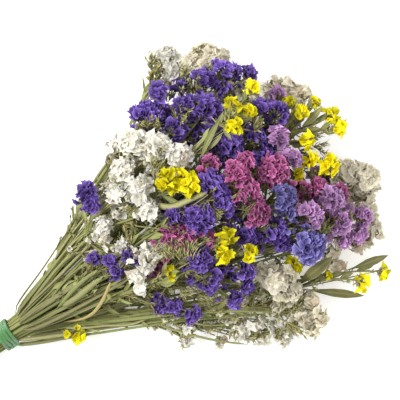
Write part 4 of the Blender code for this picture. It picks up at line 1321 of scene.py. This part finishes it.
class STATICE_OT_flowers(bpy.types.Operator):
    """Papery florets, bracts and stalks for every spray of the frame"""

    bl_idname = "statice.flowers"
    bl_label = "Flower Sprays"

    def execute(self, context):
        sprays = []
        for number, name in enumerate(nodes_named("flowers_")):
            sprays.append(Spray(name, np.random.default_rng(SPRAY_SEED + number)))
        for place in BRUSHES:
            spot = reading(*place)
            min(sprays, key=lambda spray: np.linalg.norm(spray.fork - spot)).brushes.append(spot)
        for spray in sprays:
            spray.grow()
            petals = spray.petals.mesh_object("florets_" + spray.short, spray.colour)
            placed(petals, "petals_" + spray.colour, spray.name)
            placed(spray.mesh_object("bracts_" + spray.short, "bract"), "stem_green", spray.name)
        return {"FINISHED"}


class STATICE_OT_leaves(bpy.types.Operator):
    """Dried leaf blades with a rib and a wavy rim"""

    bl_idname = "statice.leaves"
    bl_label = "Leaves"

    def execute(self, context):
        for number, name in enumerate(nodes_named("leaf_")):
            chance = np.random.default_rng(LEAF_SEED + number)
            corners, _ = cad_mesh(name)
            middle = corners.mean(axis=0)
            way, side, top = np.linalg.svd(corners - middle, full_matrices=False)[2]
            way = way if way @ (middle - reading(*LEAF_FOOT)) > 0 else -way
            top = top if top[2] > 0 else -top
            along, aside, above = ((corners - middle) @ axis for axis in (way, side, top))
            order = np.argsort(along)
            start, long = along.min(), np.ptp(along)
            t = np.linspace(0.0, 1.0, 26)[:, None]
            across = np.linspace(-1.0, 1.0, 9)
            outline = np.interp(t, *LEAF_OUTLINE) * np.abs(aside).max()
            lift = np.interp(t[:, 0], (along[order] - start) / long, above[order])
            lift = np.convolve(np.pad(lift, 3, mode="edge"), np.ones(7) / 7, mode="valid")
            wave = 0.12 * np.sin(t * 17 + across * 2 + chance.uniform(0, 6)) * np.abs(across)
            rise = lift[:, None] + (0.22 * across**2 + wave) * outline
            points = middle + (start + long * t)[..., None] * way
            points = points + (outline * across)[..., None] * side + rise[..., None] * top
            rib, rim = 1 - 0.9 * np.minimum(1.0, 3 * np.abs(across)), np.abs(across) ** 6
            half = 0.00022 * top
            blade = Gathering()
            for grid in (points + half, (points - half)[:, ::-1]):
                blade.add(grid, tone=chance.random(), shade=np.clip(rib + 0.7 * rim, 0, 1))
            placed(blade.mesh_object("blade_" + name, "leaf"), "leaf_green", name)
        return {"FINISHED"}


class STATICE_OT_band(bpy.types.Operator):
    """Soft tie wound in turns round the stems"""

    bl_idname = "statice.band"
    bl_label = "Tie Band"

    def execute(self, context):
        turns = context.scene.statice_greens.band_turns
        corners, faces = cad_mesh("tie_band")
        low, high = corners.min(axis=0), corners.max(axis=0)
        middle = (low + high) / 2
        skin = skin_of(corners, faces)
        round_turn = angles(96)
        outer = []
        for angle in round_turn:
            way = Vector((0.0, math.cos(angle), math.sin(angle)))
            hit = skin.ray_cast(Vector(middle) + 0.1 * way, -way)[0]
            outer.append((hit - Vector(middle)).length)
        outer = sum(np.roll(outer, k) for k in range(-2, 3)) / 5
        width = (high[0] - low[0]) / turns
        section = angles(14)
        flatness = 0.99 * np.sign(np.cos(section)) * np.abs(np.cos(section)) ** 0.5
        bulge = 0.0008 * (np.sin(section) - 1)
        a = round_turn[:, None]
        tie = Gathering()
        for turn in range(turns):
            x = low[0] + width * (turn + 0.5 + 0.5 * flatness) + 0.0006 * np.sin(a * 2 + turn)
            reach = outer[:, None] + bulge + 0.00025 * np.sin(5 * a + 3 * turn)
            points = np.stack([x, middle[1] + reach * np.cos(a), middle[2] + reach * np.sin(a)], axis=-1)
            tie.add(np.concatenate([points, points[:1]]), wrap=True, tone=turn / turns, shade=0.5)
        placed(tie.mesh_object("wound_tie", "band"), "tie_green", "tie_band")
        return {"FINISHED"}


class STATICE_OT_stage(bpy.types.Operator):
    """Pale table, soft studio light and a camera that looks down on the bunch"""

    bl_idname = "statice.stage"
    bl_label = "Table, Light and Camera"

    def execute(self, context):
        scene = context.scene
        bpy.ops.mesh.primitive_plane_add(size=12.0, location=(0, 0, 0))
        table = context.active_object
        table.name = "table"
        table.data.materials.append(material("table"))
        scene.world = bpy.data.worlds.new("soft_room")
        scene.world.use_nodes = True
        background = scene.world.node_tree.nodes["Background"]
        background.inputs["Color"].default_value = (1.0, 1.0, 1.0, 1.0)
        background.inputs["Strength"].default_value = 0.88
        self.lamp("key_softbox", place=(-0.9, 1.0, 1.9), power=60.0, size=0.9)
        self.lamp("fill_softbox", place=(1.3, -1.0, 1.6), power=8.0, size=1.6)
        self.camera(scene)
        scene.view_settings.view_transform = "Standard"
        scene.view_settings.look = "None"
        return {"FINISHED"}

    def lamp(self, name, place, power, size):
        light = bpy.data.lights.new(name, "AREA")
        light.energy = power
        light.size = size
        holder = bpy.data.objects.new(name, light)
        holder.location = place
        towards = Vector(LIT_PLACE) - Vector(place)
        holder.rotation_euler = towards.to_track_quat("-Z", "Y").to_euler()
        bpy.context.scene.collection.objects.link(holder)

    def camera(self, scene):
        """The photograph's view: straight down, with the bunch's axis leaning up from the lower left."""
        above, focus_height, across, sensor = 2.4, 0.07, 0.400, 36.0
        aim = (198.0, 138.0)
        lens = bpy.data.cameras.new("camera")
        lens.sensor_width = sensor
        lens.lens = sensor * (above - focus_height) / across
        lens.clip_end = 20.0
        eye = bpy.data.objects.new("camera", lens)
        turn = Matrix((VIEW_RIGHT, VIEW_UP, Vector(UP))).transposed()
        eye.matrix_world = Matrix.Translation(reading(*aim, above / MM)) @ turn.to_4x4()
        scene.collection.objects.link(eye)
        scene.camera = eye


class STATICE_PT_panel(bpy.types.Panel):
    """Shows the sizes and colours of the bunch, and a button for each step"""

    bl_idname = "STATICE_PT_panel"
    bl_label = "Dried Statice"
    bl_space_type = "VIEW_3D"
    bl_region_type = "UI"
    bl_category = "Statice"

    def draw(self, context):
        layout = self.layout
        for group in GROUPS:
            settings = getattr(context.scene, group)
            box = layout.box()
            for key in settings.__annotations__:
                box.prop(settings, key)
        for operator in STEPS:
            layout.operator(operator.bl_idname)


STEPS = (STATICE_OT_stems, STATICE_OT_flowers, STATICE_OT_leaves, STATICE_OT_band, STATICE_OT_stage)
GROUPS = {
    "statice_florets": StaticeFlorets,
    "statice_colours": StaticeColours,
    "statice_greens": StaticeGreens,
}


def register():
    for group in (*GROUPS.values(), *STEPS, STATICE_PT_panel):
        bpy.utils.register_class(group)
    for name, group in GROUPS.items():
        setattr(bpy.types.Scene, name, PointerProperty(type=group))


def unregister():
    for name in GROUPS:
        delattr(bpy.types.Scene, name)
    for group in (STATICE_PT_panel, *reversed(STEPS), *GROUPS.values()):
        bpy.utils.unregister_class(group)


def main():
    register()
    bpy.ops.statice.stems()
    bpy.ops.statice.flowers()
    bpy.ops.statice.leaves()
    bpy.ops.statice.band()
    bpy.ops.statice.stage()


if __name__ == "__main__":
    main()
